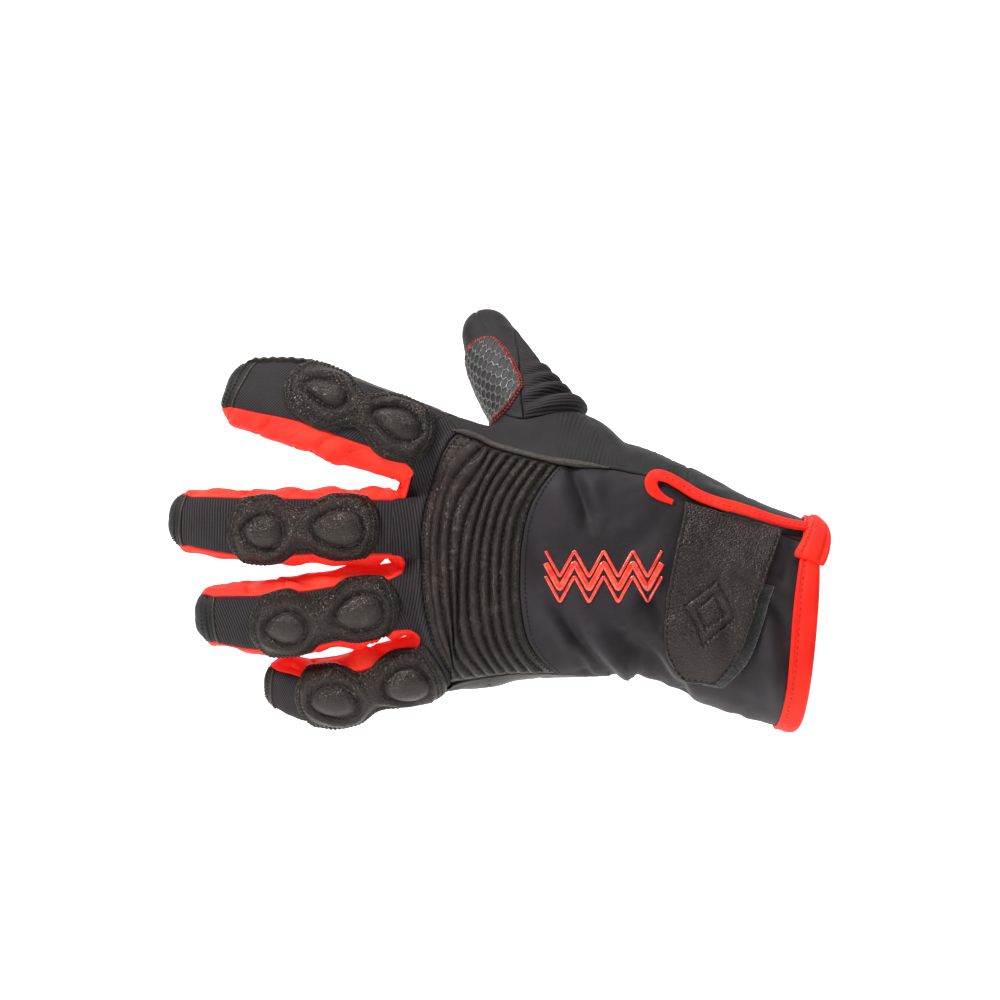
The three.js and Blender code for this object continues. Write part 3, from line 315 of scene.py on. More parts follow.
def settle(guess):
    """The skin nearest to the guesses, by seven damped Newton steps along the gradient."""
    p = np.array(guess, float)
    for _ in range(7):
        g = slope_at(p)
        p = p - g * (0.9 * field(p) / np.maximum((g * g).sum(1), 0.2))[:, None]
    return p


def on_hand(share, turn):
    """Skin at a share of the hand's length and a turn: 0 the middle of the back, 1 of the palm."""
    share, turn = np.broadcast_arrays(np.asarray(share, float), np.asarray(turn, float))
    share, turn = share.ravel(), turn.ravel()
    centre, side, back, broad, deep = hand_section(share)
    flat = np.maximum(broad - deep, 0)
    half = 2 * flat + np.pi * deep
    sign = np.where(turn < 0, -1.0, 1.0)
    way = np.abs(turn) * half
    angle = np.clip((way - flat) / deep, 0, np.pi)
    out = np.minimum(np.minimum(way, flat), half - way)
    aim = back * np.cos(angle)[:, None] + side * (sign * np.sin(angle))[:, None]
    return cast(centre + side * (sign * out)[:, None], aim)


def hand_turn(p):
    """The turn at which a place lies round the hand."""
    centre, side, back, broad, deep = hand_section(np.clip(-p[:, 0] / HAND_LENGTH, 0, 0.96))
    away = p - centre
    flat = np.maximum(broad - deep, 0)
    aside = (away * side).sum(1)
    out = np.abs(aside)
    angle = np.arctan2(np.maximum(out - flat, 0), (away * back).sum(1))
    way = np.where(angle > 0, flat + deep * angle, out)
    return np.sign(aside) * way / (2 * flat + np.pi * deep)


def on_digit(limb, share, degrees):
    """Skin at a share of the way from a digit's root to its tip and an angle from its back."""
    share, degrees = np.broadcast_arrays(np.asarray(share, float), np.asarray(degrees, float))
    share, degrees = share.ravel(), degrees.ravel()
    way = np.clip(share, 0, 0.998) * limb.way
    gone = np.minimum(way, limb.straight)
    ends = np.concatenate([[0], np.cumsum(limb.steps)])
    i = np.clip(np.searchsorted(ends, gone, side="left") - 1, 0, len(limb.steps) - 1)
    t = ((gone - ends[i]) / limb.steps[i])[:, None]
    side, back, ahead, centre = (mix(x[i], x[i + 1], t) for x in (limb.side, limb.back, limb.ahead, limb.centre))
    angle = np.radians(degrees)[:, None]
    out = back * np.cos(angle) + side * np.sin(angle)
    lean = (np.maximum(way - limb.straight, 0) / limb.round)[:, None]
    return cast(centre, out * np.cos(lean) + ahead * np.sin(lean))


def share_at(limb, x):
    """How far along a digit its middle line passes a distance x."""
    ends = np.concatenate([[0], np.cumsum(limb.steps)])
    return float(np.interp(-x, -limb.centre[:, 0], ends)) / limb.way


STARTS = [(share_at(f, -CROTCHES[i] * HAND_LENGTH), share_at(f, -CROTCHES[i + 1] * HAND_LENGTH))
          for i, f in enumerate(FINGERS)]


def back_edge(q):
    """The angle at which a finger's knit back ends, by the share of its way."""
    return mix(BACK_EDGE, 90, smooth(q, 0.8, 0.97))


def palm_edge(q):
    """The angle at which a finger's palm side starts, by the share of its way."""
    return mix(PALM_EDGE, 90, smooth(q, 0.72, 0.97))


def on_finger(i, q, r, degrees):
    """Skin of finger i at q from crotch to tip and r from its upper (0) to its lower (1) side."""
    upper, lower = STARTS[i]
    return on_digit(FINGERS[i], mix(mix(upper, lower, r), 1, q), degrees)


def on_back(i, q, r):
    """The finger's back, between its two gussets."""
    return on_finger(i, q, r, mix(back_edge(q), -back_edge(q), r))


def on_palm_side(i, q, r):
    """The finger's palm side; the outer fingers' run round to the back on their free side."""
    upper = back_edge(q) if i == 0 else palm_edge(q)
    lower = back_edge(q) if i == 3 else palm_edge(q)
    return on_finger(i, q, r, mix(upper, 360 - lower, r))


KNIT_ROWS = 8
SIDE_ROWS = 10
TURN_ROWS = 4


def gusset_place(i, s, t):
    """Down the lower side of finger i, round the crotch and up the next, s from 0 to 1."""
    s, t = np.broadcast_arrays(np.asarray(s, float), np.asarray(t, float))
    s, t = s.ravel(), t.ravel()
    k = s * (2 * SIDE_ROWS + TURN_ROWS)
    left = np.maximum(np.maximum(SIDE_ROWS - k, k - SIDE_ROWS - TURN_ROWS), 0)
    q = np.where(left <= KNIT_ROWS, CAP_SHARE * left / KNIT_ROWS,
                 mix(CAP_SHARE, GUSSET_END, (left - KNIT_ROWS) / 2))
    angle = mix(back_edge(q), palm_edge(q), t)
    out = np.empty((len(s), 3))
    down, up = k <= SIDE_ROWS, k >= SIDE_ROWS + TURN_ROWS
    if down.any():
        out[down] = on_finger(i, q[down], np.ones(down.sum()), -angle[down])
    if up.any():
        out[up] = on_finger(i + 1, q[up], np.zeros(up.sum()), angle[up])
    bend = ~(down | up)
    if bend.any():
        zero, one = np.zeros(bend.sum()), np.ones(bend.sum())
        a = on_finger(i, zero, one, -angle[bend])
        b = on_finger(i + 1, zero, zero, angle[bend])
        turn = (k[bend] - SIDE_ROWS) / TURN_ROWS
        guess = mix(a, b, turn[:, None])
        guess[:, 0] += np.linalg.norm(b - a, axis=1) * 0.45 * np.sin(np.pi * turn)
        out[bend] = settle(guess)
    return out


def root_line(k, on_side, edge):
    """The finger roots from the index side to the little finger's, four steps to each finger."""
    k = np.asarray(k, float)
    i = np.minimum(np.floor(k / 8 + 1e-9).astype(int), 3)
    within = k - 8 * i
    out = np.empty((len(k), 3))
    for n in range(4):
        finger = (i == n) & (within <= 4)
        if finger.any():
            out[finger] = on_side(n, np.zeros(finger.sum()), within[finger] / 4)
        crotch = (i == n) & (within > 4)
        if crotch.any():
            s = (SIDE_ROWS + within[crotch] - 4) / (2 * SIDE_ROWS + TURN_ROWS)
            out[crotch] = gusset_place(n, s, np.full(crotch.sum(), float(edge)))
    return out


def top_turn(share):
    """The back's upper seam: its turn round the hand, by the share of the hand's length."""
    return read_table(HAND_EDGES, share, 1)


def low_turn(share):
    """The back's lower seam: its turn round the hand, by the share of the hand's length."""
    return read_table(HAND_EDGES, share, 2)


def rib_start(turn):
    """The share of the length where the ribbed panel meets the knuckle knit."""
    return read_table(RIB_EDGES, turn, 1)


def rib_end(turn):
    """The share of the length where the ribbed panel meets the softshell."""
    return read_table(RIB_EDGES, turn, 2)


def cuff_edge(turn):
    """The share of the length where the slanting cuff ends."""
    return CUFF_SLANT * np.sin(np.pi * np.asarray(turn, float))


def wall_end(turn):
    """The share of the length where the walls end under the cuff's binding."""
    return WALL_END + cuff_edge(turn)


def on_back_of_hand(start, end, s, t):
    """Skin between two edges of the back: s from the finger side, t from the top edge down."""
    s, t = np.broadcast_arrays(np.asarray(s, float), np.asarray(t, float))
    s, t = s.ravel(), t.ravel()
    share = np.full(len(s), 0.5 * (float(start(0.0)) + float(end(0.0))))
    turn = 0 * s
    for _ in range(6):
        turn = mix(top_turn(share), low_turn(share), t)
        share = mix(start(turn), end(turn), s)
    return on_hand(share, turn)


# Fine grids, their thickness and their meshes

def spline_weights(count, at):
    """Rows of weights that read a cubic through count evenly spaced values at places from 0 to 1."""
    u = np.asarray(at, float) * (count - 1)
    i = np.clip(np.floor(u).astype(int), 0, count - 2)
    t = u - i
    four = np.stack([-t + 2 * t**2 - t**3, 2 - 5 * t**2 + 3 * t**3, t + 4 * t**2 - 3 * t**3, t**3 - t**2], 1) / 2
    weights = np.zeros((len(u), count + 2))
    rows = np.arange(len(u))
    for n in range(4):
        np.add.at(weights, (rows, i + n), four[:, n])
    inner = weights[:, 1:-1].copy()
    inner[:, 0] += 2 * weights[:, 0]
    inner[:, 1] -= weights[:, 0]
    inner[:, -1] += 2 * weights[:, -1]
    inner[:, -2] -= weights[:, -1]
    return inner


EDGE_STEPS = np.array([0.0, 0.08, 0.22, 0.42, 0.66, 0.95])


def fine_places(length, spacing):
    """Places from 0 to 1 at the spacing, with closer rows where both edges roll over."""
    inner = np.linspace(1.3, length - 1.3, max(int((length - 2.6) / spacing), 2))
    return np.concatenate([EDGE_STEPS, inner, length - EDGE_STEPS[::-1]]) / length


class Skin:
    """A patch of skin on a fine grid: places, outward directions, and distances along and across."""

    def __init__(self, place, coarse, spacing, gap=0.12, edges=True, joined_start=False):
        s, t = np.meshgrid(np.linspace(0, 1, coarse[0]), np.linspace(0, 1, coarse[1]), indexing="ij")
        p = place(s.ravel(), t.ravel())
        n = unit(slope_at(p)).reshape(*s.shape, 3)
        p = p.reshape(*s.shape, 3)
        lengths = [np.linalg.norm(np.diff(p, axis=a), axis=2).sum(a).mean() for a in (0, 1)]
        if edges:
            at = [fine_places(lengths[a], spacing[a]) for a in (0, 1)]
        else:
            at = [np.linspace(0, 1, int(lengths[a] / spacing[a]) + 2) for a in (0, 1)]
        ws, wt = spline_weights(coarse[0], at[0]), spline_weights(coarse[1], at[1])
        self.p = np.einsum("ms,sti,nt->mni", ws, p, wt, optimize=True)
        self.n = unit(np.einsum("ms,sti,nt->mni", ws, n, wt, optimize=True))
        self.s, self.t = np.meshgrid(at[0], at[1], indexing="ij")
        for axis in (0, 1):
            self._draw_in(axis, gap, joined_start and axis == 0)
        self.a, self.b = (self._distance(axis) for axis in (0, 1))
        self.a_left = self.a[-1:] - self.a
        self.b_left = self.b[:, -1:] - self.b
        self.edge = np.minimum(self.a_left, np.minimum(self.b, self.b_left))
        if not joined_start:
            self.edge = np.minimum(self.edge, self.a)

    def _draw_in(self, axis, gap, keep_first):
        """Draws the grid's two rims in from their seams by the gap."""
        p = np.moveaxis(self.p, axis, 0)
        for edge, inner in ((0, 5), (-1, -6))[1 if keep_first else 0:]:
            way = p[inner] - p[edge]
            share = np.minimum(gap / np.maximum(np.linalg.norm(way, axis=-1, keepdims=True), 1e-6), 0.3)
            p[edge] = p[edge] + way * share

    def _distance(self, axis):
        """The distance walked along the grid from its first rim."""
        step = np.linalg.norm(np.diff(self.p, axis=axis), axis=2)
        pad = [(0, 0), (0, 0)]
        pad[axis] = (1, 0)
        return np.pad(np.cumsum(step, axis=axis), pad)

    def roll(self, radius=0.85):
        """How far the cloth turns down at its edges: a quarter circle of the radius."""
        d = np.clip(self.edge / radius, 0, 1)
        return -radius * (1 - np.sqrt(1 - (1 - d) ** 2))

    def at(self, height):
        """The grid raised by the height along its outward directions."""
        return self.p + self.n * np.broadcast_to(height, self.s.shape)[..., None]

    def sample(self, s, t, height):
        """Places and outward directions at s and t on the grid, read in straight lines."""
        i = np.interp(s, self.s[:, 0], np.arange(self.s.shape[0]))
        j = np.interp(t, self.t[0], np.arange(self.t.shape[1]))
        i0, j0 = np.minimum(i.astype(int), self.s.shape[0] - 2), np.minimum(j.astype(int), self.t.shape[1] - 2)
        u, v = (i - i0)[:, None], (j - j0)[:, None]
        top = self.at(height)

        def read(grid):
            return mix(mix(grid[i0, j0], grid[i0 + 1, j0], u), mix(grid[i0, j0 + 1], grid[i0 + 1, j0 + 1], u), v)
        return read(top), unit(read(self.n))


def grid_faces(rows, columns, start=0, wrap=False):
    """The four-cornered faces of a grid of places, row by row."""
    i, j = np.meshgrid(np.arange(rows - 1), np.arange(columns - (0 if wrap else 1)), indexing="ij")
    a = start + i * columns + j
    b = start + i * columns + (j + 1) % columns
    return np.stack([a, b, b + columns, a + columns], -1).reshape(-1, 4)


def solid(top, bottom, uv=None):
    """A closed wall between two grids of the same size, joined all round its rim."""
    rows, columns = top.shape[:2]
    count = rows * columns
    upper = grid_faces(rows, columns)
    lower = grid_faces(rows, columns, count)[:, ::-1]
    ring = np.concatenate([
        np.arange(columns - 1), np.arange(rows - 1) * columns + columns - 1,
        (rows - 1) * columns + np.arange(columns - 1, 0, -1), np.arange(rows - 1, 0, -1) * columns])
    after = np.roll(ring, -1)
    rim = np.stack([after, ring, ring + count, after + count], -1)
    places = np.concatenate([top.reshape(-1, 3), bottom.reshape(-1, 3)])
    flat = np.zeros((count, 2)) if uv is None else uv.reshape(-1, 2)
    return places, np.concatenate([upper, lower, rim]), np.concatenate([flat, flat])


def sweep(path, aside, up, outline, closed=False, taper=True):
    """An outline of offsets (aside, up) carried along a path; open ends close to a point."""
    rows = path[:, None] + aside[:, None] * outline[..., 0:1] + up[:, None] * outline[..., 1:2]
    if not closed and taper:
        first, last = rows[:1].mean(1, keepdims=True), rows[-1:].mean(1, keepdims=True)
        rows = np.concatenate([mix(first, rows[:1], 0.02), mix(first, rows[:1], 0.75), rows,
                               mix(last, rows[-1:], 0.75), mix(last, rows[-1:], 0.02)])
    if closed:
        rows = np.concatenate([rows, rows[:1]])
    m, n = rows.shape[:2]
    faces = grid_faces(m, n, 0, True)
    along = np.pad(np.cumsum(np.linalg.norm(np.diff(rows, axis=0), axis=2).mean(1)), (1, 0))
    uv = np.stack(np.broadcast_arrays(along[:, None], np.linspace(0, 1, n)[None]), -1)
    return rows.reshape(-1, 3), faces, uv.reshape(-1, 2)


def joined(parts):
    """Several meshes as one."""
    places, faces, uvs, start = [], [], [], 0
    for p, f, uv in parts:
        places.append(p)
        faces.append(f + start)
        uvs.append(uv)
        start += len(p)
    return np.concatenate(places), np.concatenate(faces), np.concatenate(uvs)


def outward(places, faces):
    """The faces, reversed if the mesh's signed volume is negative."""
    a, b, c, d = (places[faces[:, k]] for k in range(4))
    volume = (a * np.cross(b, c)).sum() + (a * np.cross(c, d)).sum()
    return faces if volume > 0 else faces[:, ::-1]


def add_piece(name, mesh, material, nodes=()):
    """Makes the mesh an object of the glove that stands for the named solids."""
    places, faces, uv = mesh
    faces = outward(places, faces)
    data = bpy.data.meshes.new(name)
    data.vertices.add(len(places))
    data.vertices.foreach_set("co", (places / 1000).astype(np.float32).ravel())
    data.loops.add(faces.size)
    data.loops.foreach_set("vertex_index", faces.astype(np.int32).ravel())
    data.polygons.add(len(faces))
    data.polygons.foreach_set("loop_start", np.arange(0, faces.size, 4, dtype=np.int32))
    data.polygons.foreach_set("use_smooth", np.ones(len(faces), bool))
    layer = data.uv_layers.new(name="UVMap")
    layer.data.foreach_set("uv", uv[faces.ravel()].astype(np.float32).ravel())
    data.update(calc_edges=True)
    data.validate()
    data.materials.append(material)
    piece = bpy.data.objects.new(name, data)
    bpy.context.scene.collection.objects.link(piece)
    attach(piece, "root")
    if nodes:
        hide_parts(*nodes)
    return piece


def panel(name, skin, height, thickness, material, nodes=None, rolled=None, ribs=None):
    """A sewn panel: its outside at the height over the skin, turned down into its seams."""
    top = height + (rolled if rolled is not None else skin.roll())
    low = np.minimum(np.zeros_like(skin.s), height if np.ndim(height) == 0 else 0) - thickness
    uv = np.stack([skin.a if ribs is None else ribs, skin.b], -1)
    mesh = solid(skin.at(top), skin.at(np.minimum(low, top - 0.25)), uv)
    return add_piece(name, mesh, material, nodes if nodes is not None else [name])


def stitches(path, up, pitch=1.9, length=1.35, radius=0.3, sink=0.1):
    """A row of thread stitches: an oval grain of six by four places at each pitch of the path."""
    step = np.pad(np.cumsum(np.linalg.norm(np.diff(path, axis=0), axis=1)), (1, 0))
    count = max(int(step[-1] / pitch), 1)
    at = (np.arange(count) + 0.5) * step[-1] / count

    def read(values, where):
        return np.stack([np.interp(where, step, values[:, c]) for c in range(3)], 1)
    centre, normal = read(path, at), unit(read(up, at))
    ahead = unit(read(path, at + 0.2) - read(path, at - 0.2) + 1e-9)
    side = unit(np.cross(normal, ahead))
    lat = np.linspace(0.08, np.pi - 0.08, 5)
    lon = np.linspace(0, 2 * np.pi, 6, endpoint=False)
    x = np.cos(lat)[:, None] + 0 * lon[None]
    y = np.sin(lat)[:, None] * np.cos(lon)[None]
    z = np.sin(lat)[:, None] * np.sin(lon)[None]
    grain = (centre[:, None, None] - normal[:, None, None] * sink
             + ahead[:, None, None] * (x * length / 2)[None, ..., None]
             + side[:, None, None] * (y * radius)[None, ..., None]
             + normal[:, None, None] * (z * radius)[None, ..., None])
    one = grid_faces(5, 6, 0, True)
    faces = (np.arange(count)[:, None, None] * 30 + one[None]).reshape(-1, 4)
    places = grain.reshape(-1, 3)
    return places, faces, np.zeros((len(places), 2))


# Shader maths

class Value:
    """A number that a material works out: operators add Math nodes."""

    def __init__(self, kit, socket):
        self.kit, self.socket = kit, socket

    def _math(self, operation, *others, flip=False):
        """A Math node of this value and others."""
        inputs = [self, *others]
        if flip:
            inputs = inputs[::-1]
        return self.kit.node("ShaderNodeMath", {"operation": operation}, dict(enumerate(inputs)))

    def __add__(self, other):
        return self._math("ADD", other)

    def __sub__(self, other):
        return self._math("SUBTRACT", other)

    def __mul__(self, other):
        return self._math("MULTIPLY", other)

    def __truediv__(self, other):
        return self._math("DIVIDE", other)

    def __rsub__(self, other):
        return self._math("SUBTRACT", other, flip=True)

    __radd__, __rmul__ = __add__, __mul__

    def __pow__(self, other):
        return self._math("POWER", other)

    def sine(self):
        """The sine of the value in radians."""
        return self._math("SINE")

    def size(self):
        """The value without its sign."""
        return self._math("ABSOLUTE")

    def least(self, other):
        """The smaller of the two."""
        return self._math("MINIMUM", other)

    def most(self, other):
        """The larger of the two."""
        return self._math("MAXIMUM", other)

    def part(self):
        """The value less its whole number."""
        return self._math("FRACT")

    def between(self, low, high):
        """From 0 at low to 1 at high, with a smooth start and end."""
        return self.kit.node("ShaderNodeMapRange", {"interpolation_type": "SMOOTHSTEP"},
                             {0: self, 1: low, 2: high, 3: 0.0, 4: 1.0})


class Kit:
    """Makes one material's nodes."""

    def __init__(self, name, **shader):
        self.material = bpy.data.materials.new(name)
        self.material.use_nodes = True
        self.tree = self.material.node_tree
        self.shader = next(n for n in self.tree.nodes if n.type == "BSDF_PRINCIPLED")
        for key, value in shader.items():
            self.socket_of(key).default_value = value
        self.material.diffuse_color = (*shader.get("base_color", (0.1, 0.1, 0.1, 1))[:3], 1)

    def socket_of(self, key):
        """The shader socket that a keyword stands for."""
        return self.shader.inputs[key.replace("_", " ").title().replace("Ior", "IOR")]

    def node(self, kind, settings=None, inputs=None, output=0):
        """One node with its settings and its inputs."""
        node = self.tree.nodes.new(kind)
        for key, value in (settings or {}).items():
            setattr(node, key, value)
        for key, value in (inputs or {}).items():
            self.join(node.inputs[key], value)
        return Value(self, node.outputs[output])

    def join(self, socket, value):
        """A link, or a constant, on a socket."""
        if isinstance(value, Value):
            self.tree.links.new(value.socket, socket)
        else:
            socket.default_value = value

    def object_place(self):
        """The place on the object, in metres."""
        return self.node("ShaderNodeTexCoord", output="Object")

    def along_across(self):
        """The piece's own distances along and across, in millimetres."""
        uv = self.node("ShaderNodeUVMap", {"uv_map": "UVMap"})
        split = self.tree.nodes.new("ShaderNodeSeparateXYZ")
        self.join(split.inputs[0], uv)
        return Value(self, split.outputs[0]), Value(self, split.outputs[1])

    def noise(self, scale, detail=3.0, rough=0.55):
        """Cloudy tone over the object's place."""
        return self.node("ShaderNodeTexNoise", {}, {"Vector": self.object_place(), "Scale": scale, "Detail": detail,
                                                    "Roughness": rough})

    def cells(self, scale, feature="DISTANCE_TO_EDGE"):
        """Cells over the object's place, by distance to their edge."""
        return self.node("ShaderNodeTexVoronoi", {"feature": feature},
                         {"Vector": self.object_place(), "Scale": scale})

    def blend(self, mask, a, b):
        """Colour a where the mask is 0 and b where it is 1."""
        return self.node("ShaderNodeMix", {"data_type": "RGBA"}, {0: mask, 6: a, 7: b}, output=2)

    def bump(self, height, strength, distance, under=None):
        """A normal tilted by the height, over another normal."""
        inputs = {"Height": height, "Strength": strength, "Distance": distance / 1000}
        if under is not None:
            inputs["Normal"] = under
        return self.node("ShaderNodeBump", {}, inputs)

    def paint(self, **links):
        """Feeds the shader's sockets and gives the material back."""
        for key, value in links.items():
            self.join(self.socket_of(key), value)
        return self.material


# Angles of the shaders' waves, and half the width of a hexagon of height 1.
FULL_TURN = 6.2832
HALF_TURN = 3.14159
HEX_HALF = 0.8660254


def colour(*rgb):
    """A colour of the shaders, opaque."""
    return (*rgb, 1.0)


def knit_cloth(name, dark, light, loops=0.62):
    """Stretch knit: fine loops along each rib, a little lint and tone; painted shade in the rib valleys, lit crowns."""
    kit = Kit(name, roughness=0.82, sheen_weight=0.04, sheen_roughness=0.5, specular_ior_level=0.2)
    ribs, across = kit.along_across()
    loop = (across * (FULL_TURN / loops)).sine() * 0.5 + 0.5
    weave = loop * 0.6 + kit.noise(3200.0, 2.0) * 0.4
    # crown: painted shade in the valleys between the ribs, painted light on the rib crowns
    crown = ((ribs + 0.5) * HALF_TURN).sine().size() ** 1.7
    tone = (kit.noise(90.0, 4.0) * 0.6 + weave * 0.4).between(0.25, 0.8) * 0.35 + 0.65
    base = kit.blend(crown * tone, dark, light)
    return kit.paint(base_color=base, normal=kit.bump(weave, 0.35, 0.22),
                     roughness=0.78 + 0.14 * kit.noise(700.0))


def twill_cloth(name, dark, light, scale=0.75):
    """Smooth cloth with a fine slanting weave."""
    kit = Kit(name, roughness=0.7, sheen_weight=0.04, sheen_roughness=0.4, specular_ior_level=0.25)
    along, across = kit.along_across()
    slant = ((along * 0.8 + across) * (FULL_TURN / scale)).sine() * 0.5 + 0.5
    weave = slant * 0.55 + kit.noise(2600.0, 2.0) * 0.45
    tone = kit.noise(45.0, 4.0) * 0.75 + weave * 0.25
    base = kit.blend(tone.between(0.3, 0.75), dark, light)
    return kit.paint(base_color=base, normal=kit.bump(weave, 0.22, 0.15),
                     roughness=0.6 + 0.16 * kit.noise(160.0))


def leather_hide(name, dark, light, speck_highlight, rough=0.5, grain=900.0, depth=0.3):
    """Leather: pebbled grain, painted shade in the creases between the pebbles, painted highlight specks on the tops.
    """
    kit = Kit(name, roughness=rough, specular_ior_level=0.36, specular_tint=colour(1.0, 0.84, 0.76))
    pebble = kit.cells(grain)
    grain_height = (pebble * 3.2).least(1.0) ** 0.6
    fine = kit.noise(grain * 2.4, 3.0)
    height = grain_height * 0.75 + fine * 0.25
    patchy = kit.noise(60.0, 5.0, 0.6)
    # painted shade: darker down in the creases between the pebbles, lighter on their tops
    base = kit.blend(height.between(0.25, 0.95), dark, light)
    # painted highlight specks on the pebble tops, in the pale third colour
    highlight_specks = (kit.noise(140.0, 4.0, 0.65).between(0.5, 0.72)) * height.between(0.5, 0.95)
    base = kit.blend(highlight_specks * 0.75, base, speck_highlight)
    soft = kit.bump(kit.noise(220.0, 4.0), 0.25, 0.5)
    return kit.paint(base_color=base, normal=kit.bump(height, 0.8, depth, soft),
                     roughness=rough - 0.1 + 0.22 * patchy + 0.1 * (1 - height))


def red_cloth(name, deep, bright, glow):
    """Bright stretch cloth: fine weave, random deeper and brighter tone, and a painted red glow that keeps its shaded
    creases bright.
    """
    kit = Kit(name, roughness=0.62, specular_ior_level=0.12,
              emission_strength=glow, emission_color=colour(1.0, 0.006, 0.008))
    along, across = kit.along_across()
    weave = (along * 9.0).sine() * (across * 9.0).sine() * 0.5 + 0.5
    tone = kit.noise(55.0, 4.0, 0.5) * 0.8 + weave * 0.2
    base = kit.blend(tone.between(0.25, 0.75), deep, bright)
    return kit.paint(base_color=base, normal=kit.bump(weave + kit.noise(900.0), 0.2, 0.12),
                     roughness=0.56 + 0.14 * kit.noise(400.0))


def thread(name, tint, shine=0.45):
    """Twisted sewing thread, seen as small glossy grains with tone from place to place."""
    kit = Kit(name, roughness=shine, specular_ior_level=0.22)
    tone = kit.noise(500.0, 3.0)
    dark = tuple(0.55 * c for c in tint[:3]) + (1.0,)
    twist = kit.noise(5200.0, 1.0)
    return kit.paint(base_color=kit.blend(tone.between(0.35, 0.7), dark, tint),
                     normal=kit.bump(twist, 0.3, 0.08), roughness=shine + 0.15 * tone)


def hexagon_grip(name):
    """Dark cloth under raised glossy lines that part it into six-sided cells 3.4 mm across.

    The lines are where the two nearest centres of a three-way lattice are equally far away: the
    largest of the three folded distances to the lattice's line families, within half a line."""
    kit = Kit(name, roughness=0.4)
    along, across = kit.along_across()
    pitch = GRIP_PITCH

    def to_edge(dx, dy):
        x = ((along / pitch + dx) / (2 * HEX_HALF)).part() * (2 * HEX_HALF) - HEX_HALF
        y = (across / pitch + dy).part() - 0.5
        one = y.size()
        other = (x.size() * HEX_HALF + y.size() * 0.5)
        return one.most(other)
    near = to_edge(0.0, 0.0).least(to_edge(HEX_HALF, 0.5))
    line = near.between(0.405, 0.46)
    patch = kit.noise(160.0, 3.0)
    ground = kit.blend(patch.between(0.3, 0.7), colour(0.004, 0.0036, 0.0037), colour(0.014, 0.0125, 0.0125))
    base = kit.blend(line, ground, colour(0.12, 0.115, 0.113))
    height = line + kit.noise(1500.0) * 0.15
    return kit.paint(base_color=base, normal=kit.bump(height, 0.9, 0.5), roughness=0.62 - 0.46 * line)


def loop_fuzz(name):
    """Hook tape: a dense dull pile."""
    kit = Kit(name, roughness=0.95, sheen_weight=0.4)
    pile = kit.noise(2200.0, 3.0, 0.7)
    return kit.paint(base_color=kit.blend(pile.between(0.35, 0.7), colour(0.004, 0.004, 0.005),
                                          colour(0.03, 0.03, 0.032)), normal=kit.bump(pile, 0.9, 0.6))


def print_ink(name):
    """Thick glossy print with a slightly pebbled face."""
    kit = Kit(name, roughness=0.22, specular_ior_level=0.6, coat_weight=0.5, coat_roughness=0.15)
    tone = kit.noise(350.0, 3.0)
    base = kit.blend(tone.between(0.3, 0.7), colour(0.62, 0.018, 0.008), colour(0.95, 0.07, 0.03))
    return kit.paint(base_color=base, normal=kit.bump(tone, 0.4, 0.2), roughness=0.16 + 0.2 * tone)


def floor_paint(name):
    """A plain pale floor with the faintest tone."""
    kit = Kit(name, roughness=0.7, emission_color=colour(1, 1, 1), emission_strength=0.55)
    tone = kit.noise(3.0, 2.0)
    return kit.paint(base_color=kit.blend(tone, colour(0.9, 0.9, 0.9), colour(0.94, 0.94, 0.94)))


FINISHES = {}


